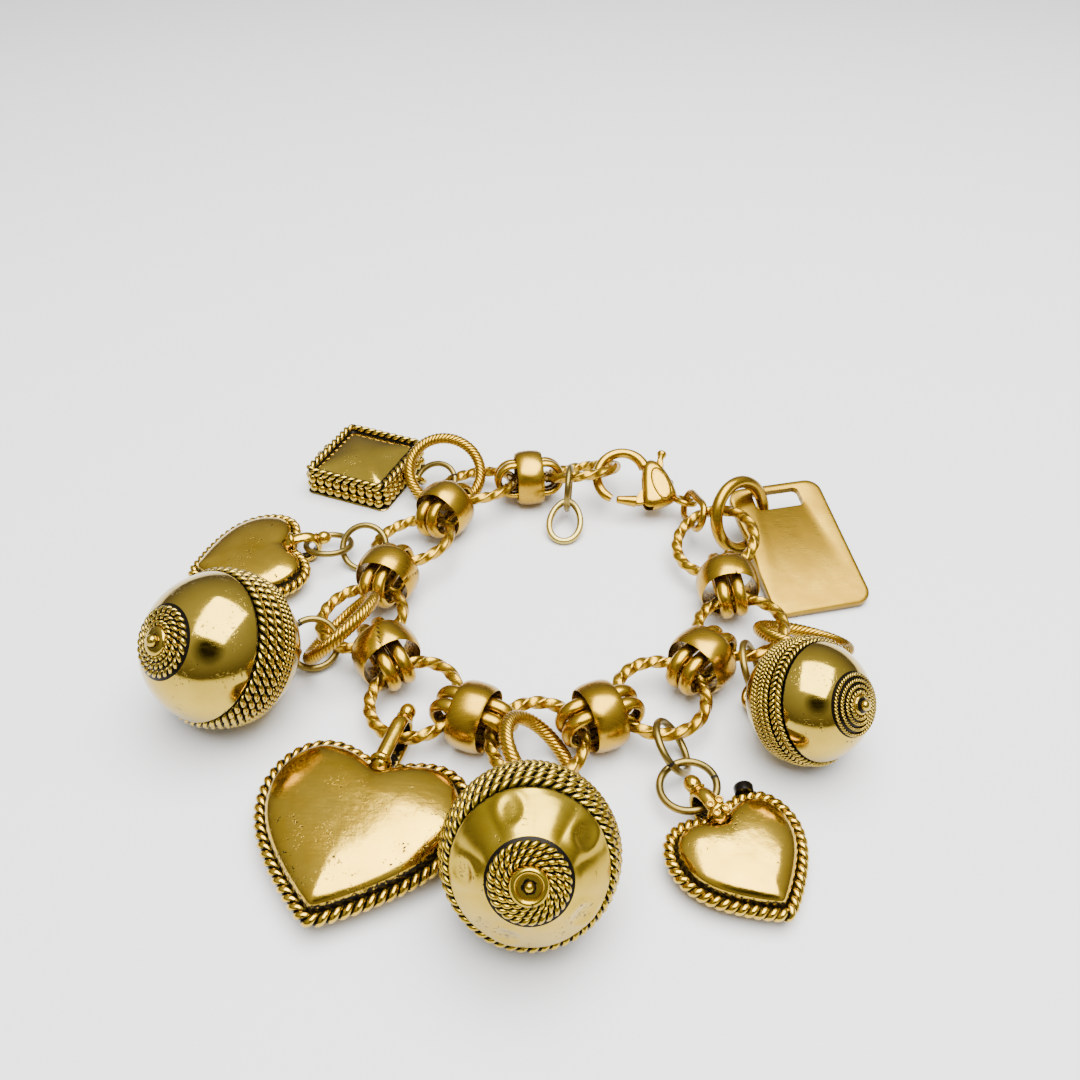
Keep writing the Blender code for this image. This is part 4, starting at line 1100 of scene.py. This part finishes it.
def square_charm():
    """A square box: tiers of beads on its sides, a rope round its lid and a pillow in it, with painted shade
    on the box walls, round the pillow's edge and under the beads.
    """
    shape, half = Shape(), SQUARE_SIDE / 2
    pillow = half - PILLOW_EDGE
    levels = [(0.02, 0.0, 1)] + [(half - inset, height, depth) for inset, height, depth in BOX_PROFILE]
    for share in np.linspace(0.0, 0.985, 16):
        rise = (1 - (1 - share) ** 2.0) ** 0.85
        height = PILLOW_BASE + (PILLOW_TOP - PILLOW_BASE) * rise
        # Painted shade round the pillow's edge, next to the lid rope
        levels.append((pillow * (1 - share), height, max(0.0, 0.9 - share * 18)))
    rows = []
    for reach, height, _ in levels:
        roundness = 0.14 + 0.7 * np.clip(1 - reach / pillow, 0, 1)
        line = square_path(max(reach, 0.02), max(reach, 0.02) * roundness, 120)
        rows.append(line + np.array([0, 0, height * MM]))
    recess = np.array([depth for _, _, depth in levels], float)[:, None]
    shape.skin(np.stack(rows), recess, ends=True)
    for inset, height, size in BEADS:
        reach = half - inset
        for point in square_path(reach, BEAD_CORNER, BEADS_ROUND) / MM:
            up = Vector(point) - Vector(np.clip(point, -reach + BEAD_CORNER, reach - BEAD_CORNER))
            up = up.normalized() if up.length > 0.01 else Vector((1, 0, 0))
            # Painted shade under each bead
            blob(shape, (point[0], point[1], height), size, up, 10, 7, 0.3)
    inset, height, radius, ridges = LID_ROPE
    rim = square_path(half - inset, 1.0, 200) + np.array([0, 0, height * MM])
    rope(shape, rim, radius, ridges, depth=0.9)
    for side in (-1.1, 1.1):
        # Painted shade on the undersides of the two side beads
        blob(shape, (-half - 0.25, side, 3.6), (0.85, 0.85, 0.85), (-1, 0, 0), 14, 9, 0.0)
    place = step_in((half + EYE_RADIUS - 0.2, 0, SQUARE_HEIGHT * 0.45), (0, 0.75, 0.65))
    return shape.skin(wire_ring(EYE_RADIUS, EYE_WIRE, 40, 12), 0.1, matrix=place)


def tag_plate():
    """A flat plate with softened edges and a slot near one end, with painted shade on the slot's walls."""
    width, length, thick = TAG_SIZE
    slot_width, slot_height = TAG_SLOT
    slot_y = length / 2 - TAG_SLOT_EDGE - slot_height / 2
    half = thick / 2
    upper = [(0.7, half), (0.28, half - 0.02), (0.08, half - 0.12), (0.0, half - 0.34)]
    rows, shade = [], []
    for inset, height in upper + [(inset, -height) for inset, height in reversed(upper)]:
        line = rounded(width / 2 - inset, length / 2 - inset, TAG_CORNER - inset * 0.6, 10)
        rows.append(line + [0, 0, height])
        shade.append(0.0)
    # Painted shade on the walls of the slot
    for flare, height, depth in ((0.4, -half, 0.0), (0.0, -half + 0.15, 0.4), (0.0, half - 0.15, 0.4),
                                 (0.4, half, 0.0)):
        line = rounded(slot_width / 2 + flare, slot_height / 2 + flare, TAG_SLOT_CORNER + flare, 10)
        rows.append(line + [0, slot_y, height])
        shade.append(depth)
    return Shape().skin(np.stack(rows) * MM, np.array(shade)[:, None])


def tag_matrix(node):
    """Where the tag lies: its middle, with its slot toward y and its face up."""
    points = points_of(node)
    middle, (along, _, normal) = spread(points)
    reach = along_axis(points, along, middle)
    along = along if abs(reach.min()) > reach.max() else -along
    normal = toward(normal, UP)
    centre = Vector()
    for direction in (along, along.cross(normal), normal):
        spans = along_axis(points, direction)
        centre += direction * (spans.min() + spans.max()) / 2
    return placement(centre, normal, along.cross(normal))


def drop_matrix(node, holder):
    """Where the drop lies: its middle, with the ring that holds it toward y and its face up."""
    points = points_of(node)
    middle, (along, _, normal) = spread(points)
    along = toward(along, spread(points_of(holder))[0] - middle)
    spans = along_axis(points, along, middle)
    middle += along * (spans.min() + spans.max()) / 2
    normal = toward(normal, UP)
    return placement(middle, normal, along.cross(normal))


def open_drop():
    """A small open teardrop of round wire."""
    t = around(96)
    bend = 0.6 + 0.4 * np.sin(t / 2)
    wide, long, wire = DROP_SIZE
    path = xyz(wide / 2 * np.sin(t) * bend, long / 2 * np.cos(t)) * MM
    return Shape().skin(sweep(path, box_section(wire, wire, 2.6, 14), (0, 0, -1)))


class FlatCharmsOperator(bpy.types.Operator):
    """Builds the square charm, the plate tag and the small drop"""

    bl_idname = "bracelet.build_flat_charms"
    bl_label = "Build Flat Charms"

    def execute(self, context):
        make_finishes(context)
        matrix = square_matrix("square_charm")
        shape = square_charm()
        piece("square_box_charm", shape, matrix, "ball_gold", ["square_charm"], sharp=60)
        matrix = tag_matrix("plate_tag")
        piece("tag", tag_plate(), matrix, "tag_gold", ["plate_tag"], sharp=24)
        matrix = drop_matrix("drop_charm", "drop_charm_jump_ring")
        piece("drop", open_drop(), matrix, "drop_brass", ["drop_charm"])
        return {"FINISHED"}


def clasp_matrix():
    """The clasp's plane, from the lever's hinge."""
    joint = frame["joints"][0]
    matrix = placement(Vector(joint["pos_m"]), -Vector(joint["axis"]), CLASP_ALONG)
    return matrix @ Matrix.Translation(-Vector((*CLASP_PIN, 0)) * MM)


def plate(outline, levels):
    """A thick plate of an outline; levels are (share of its size, height in millimetres)."""
    middle = outline.mean(axis=0)
    rows = [middle + (outline - middle) * share + np.array([0, 0, height * MM]) for share, height in levels]
    return np.stack(rows)


def clasp_body():
    """The clasp's body and hook, with an oval panel on each face and an eye at the tail; the panels' rims are
    painted dark as shade.
    """
    shape = Shape()
    outline = resample(cut_corners(flat_points(CLASP_POINTS)), 72)
    half = CLASP_THICKNESS / 2
    side = [(0.5, half), (0.7, half - 0.05), (0.84, half - 0.28), (0.94, half - 0.7), (1.0, half - 1.2)]
    shape.skin(plate(outline, side + [(share, -z) for share, z in reversed(side)]), ends=True)
    angles = np.radians(np.linspace(*HOOK_SPAN, 72))
    wide, tall, wire = HOOK_SIZE
    path = xyz(wide * np.cos(angles), tall * np.sin(angles)) * MM
    share = np.linspace(0, 1, 72)
    tip = np.where(share > 0.94, 1 - 0.22 * (share - 0.94) / 0.06, 1.0)
    sizes = (1.12 - 0.2 * np.minimum(share * 4, 1.0)) * tip
    shape.skin(sweep(path, round_section(wire, 16), closed=False, sizes=sizes), ends=True)
    long, high, line = PANEL
    for face in (1, -1):
        at = step_in((*PANEL_PLACE, face * (half - 0.02)), (0, 0, face), (0.55, -0.83 * face, 0))
        shape.skin(sweep(circle(1.0, 48) * [long, high, 1], round_section(line, 8)), matrix=at)
        # Each panel's floor gets painted shade at its rim and on its walls
        floor = [circle(1.0, 48) * [PANEL_FLOOR[0] * share, PANEL_FLOOR[1] * share, 1] + [0, 0, z * MM]
                 for share, z in ((0.02, 0.06), (0.6, 0.05), (0.93, 0.03), (1.0, -0.3), (0.02, -0.35))]
        shape.skin(np.stack(floor), np.array([0.0, 0.1, 0.5, 1, 1])[:, None], ends=True, matrix=at)
    return shape.skin(wire_ring(*TAIL_EYE, 40, 12), matrix=step_in((*CLASP_TAIL, 0), (0, 1, 0.8)))


def clasp_lever():
    """The lever: a thin plate in the body, the gate that closes the hook, and a thumb knob."""
    shape = Shape()
    outline = resample(cut_corners(flat_points(LEVER_POINTS), 2), 64)
    half = LEVER_THICKNESS / 2
    levels = [(0.9, half), (0.97, half - 0.06), (1.0, half - 0.2)]
    shape.skin(plate(outline, levels + [(share, -z) for share, z in reversed(levels)]), ends=True)
    ends = flat_points(LEVER_GATE)
    share = np.linspace(0, 1, 20)[:, None]
    path = ends[0] * (1 - share) + ends[1] * share
    sizes = np.interp(share[:, 0], (0.0, 0.06, 0.45, 1.0), (0.5, 0.7, 0.88, 1.12))
    rows = sweep(path, round_section(HOOK_SIZE[2], 16), closed=False, sizes=sizes)
    shape.skin(rows, ends=True)
    turned(shape, THUMB, 24, [0] * len(THUMB), step_in((*LEVER_THUMB, 0), (0, 1, 0)))
    return shape


def link_matrix(node):
    """Where a long link lies: its middle, with its length along x and its face up."""
    middle, (along, _, normal) = spread(points_of(node))
    return placement(middle, toward(normal, UP), along)


def carve(name, shape, matrix, room, sharp):
    """The mesh of a shape with the room of a plate cut out of it."""
    rough, tool = (bpy.data.objects.new(label, mesh_of(label, form, matrix, None))
                   for label, form in ((name + "_rough", shape), (name + "_room", room)))
    for thing in (rough, tool):
        bpy.context.scene.collection.objects.link(thing)
    step = rough.modifiers.new("room", "BOOLEAN")
    step.operation, step.solver, step.object = "DIFFERENCE", "EXACT", tool
    step.use_self = True
    bpy.context.view_layer.update()
    mesh = bpy.data.meshes.new_from_object(rough.evaluated_get(bpy.context.evaluated_depsgraph_get()))
    mesh.name = name
    for thing in (rough, tool):
        bpy.data.objects.remove(thing)
    mesh.shade_smooth()
    mesh.set_sharp_from_angle(angle=math.radians(sharp))
    return mesh


class ClaspOperator(bpy.types.Operator):
    """Builds the lobster clasp, its lever and its link"""

    bl_idname = "bracelet.build_clasp"
    bl_label = "Build Clasp"

    def execute(self, context):
        make_finishes(context)
        matrix = clasp_matrix()
        gap = LEVER_THICKNESS / 2 + AIR
        room = Shape().skin(plate(flat_points(ROOM_POINTS), [(1.0, -gap), (1.0, gap)]), ends=True)
        mesh = carve("clasp", clasp_body(), matrix, room, 45)
        put("clasp", mesh, "chain_gold", ["clasp_body"])
        piece("lever", clasp_lever(), matrix, "chain_gold", ["clasp_lever"], LEVER_BODY, 45)
        node = "clasp_link"
        place = link_matrix(node)
        tall, wire = TAIL_LINK
        length = np.ptp(along_axis(points_of(node), place.to_3x3().col[0])) / MM - wire
        path = stadium(length, tall - wire, 56)[:, [0, 2, 1]]
        link = Shape().skin(sweep(path, round_section(wire, 12), (0, 0, -1)))
        piece("tail_link", link, place, "chain_gold", [node])
        return {"FINISHED"}


def window_light(power):
    """A wide soft light overhead that faces the middle of the bracelet."""
    lamp = bpy.data.lights.new("window", "AREA")
    lamp.shape = "RECTANGLE"
    lamp.size, lamp.size_y = WINDOW_SIZE
    lamp.energy = power
    thing = bpy.data.objects.new("window", lamp)
    bpy.context.scene.collection.objects.link(thing)
    thing.location = WINDOW_PLACE
    thing.rotation_euler = (-Vector(WINDOW_PLACE)).to_track_quat("-Z", "Y").to_euler()


def room_light(strength):
    """Light from all round: pale above, darker low down and toward one dark side in front."""
    world = bpy.data.worlds.new("room")
    bpy.context.scene.world = world
    world.use_nodes = True
    web = Web(world.node_tree)
    where = web.add("ShaderNodeTexCoord").outputs["Generated"]
    height = web.add("ShaderNodeSeparateXYZ", {"Vector": where}).outputs[2]
    shade = web.blend(web.rise(height, 0.1, 0.9), ROOM_LOW, ROOM_HIGH)
    facing = web.add("ShaderNodeVectorMath", {0: where, 1: FRONT_SIDE}, operation="DOT_PRODUCT")
    shade = web.blend(web.rise(facing.outputs["Value"], 0.9, 0.985), shade, ROOM_FRONT)
    ground = world.node_tree.nodes["Background"]
    web.link(shade, ground.inputs["Color"])
    ground.inputs["Strength"].default_value = strength


class StageOperator(bpy.types.Operator):
    """Builds the floor, the light and the camera"""

    bl_idname = "bracelet.build_stage"
    bl_label = "Build Stage"

    def execute(self, context):
        stage = context.scene.bracelet_stage
        mesh = bpy.data.meshes.new("floor")
        corners = [(FLOOR_REACH * x, FLOOR_REACH * y, 0) for x, y in ((-1, -1), (1, -1), (1, 1), (-1, 1))]
        mesh.from_pydata(corners, [], [(0, 1, 2, 3)])
        paint = bpy.data.materials.new("table")
        paint.use_nodes = True
        shader = paint.node_tree.nodes["Principled BSDF"]
        shader.inputs["Base Color"].default_value = (*stage.floor, 1)
        shader.inputs["Roughness"].default_value = 0.6
        mesh.materials.append(paint)
        floor = bpy.data.objects.new("floor", mesh)
        context.scene.collection.objects.link(floor)
        room_light(stage.sky)
        window_light(stage.window)
        camera = bpy.data.cameras.new("camera")
        camera.sensor_width = 36
        camera.lens = CAMERA_LENS
        camera.clip_start = 0.005
        eye = bpy.data.objects.new("camera", camera)
        context.scene.collection.objects.link(eye)
        down = math.radians(CAMERA_DOWN)
        away = Vector((0, math.cos(down), -math.sin(down))) * stage.camera_distance
        eye.location = Vector(CAMERA_TARGET) - away
        eye.rotation_euler = (math.pi / 2 - down, 0, 0)
        context.scene.camera = eye
        return {"FINISHED"}


class BraceletPanel(bpy.types.Panel):
    """Lists the pieces of the bracelet and their settings"""

    bl_idname = "VIEW3D_PT_bracelet"
    bl_label = "Charm Bracelet"
    bl_space_type = "VIEW_3D"
    bl_region_type = "UI"
    bl_category = "Bracelet"

    def draw(self, context):
        for maker in MAKERS:
            self.layout.operator(maker.bl_idname)
        for name in SETTINGS:
            settings = getattr(context.scene, name)
            for label in settings.bl_rna.properties.keys():
                if label not in ("rna_type", "name"):
                    self.layout.prop(settings, label)


SETTINGS = {
    "bracelet_finishes": BraceletFinishes,
    "bracelet_shapes": BraceletShapes,
    "bracelet_stage": BraceletStage,
}
MAKERS = (ChainOperator, RingsOperator, ClaspOperator, BallsOperator, HeartsOperator, FlatCharmsOperator,
          StageOperator)


def register():
    """Makes the panel, the settings and the operators known."""
    for made in (*SETTINGS.values(), *MAKERS, BraceletPanel):
        bpy.utils.register_class(made)
    for name, group in SETTINGS.items():
        setattr(bpy.types.Scene, name, bpy.props.PointerProperty(type=group))


def unregister():
    """Takes the panel, the settings and the operators away again."""
    for name in SETTINGS:
        delattr(bpy.types.Scene, name)
    for made in reversed((*SETTINGS.values(), *MAKERS, BraceletPanel)):
        bpy.utils.unregister_class(made)


def main():
    """Builds the bracelet and its stage."""
    register()
    bpy.ops.bracelet.build_chain()
    bpy.ops.bracelet.build_rings()
    bpy.ops.bracelet.build_clasp()
    bpy.ops.bracelet.build_balls()
    bpy.ops.bracelet.build_hearts()
    bpy.ops.bracelet.build_flat_charms()
    bpy.ops.bracelet.build_stage()


if __name__ == "__main__":
    main()
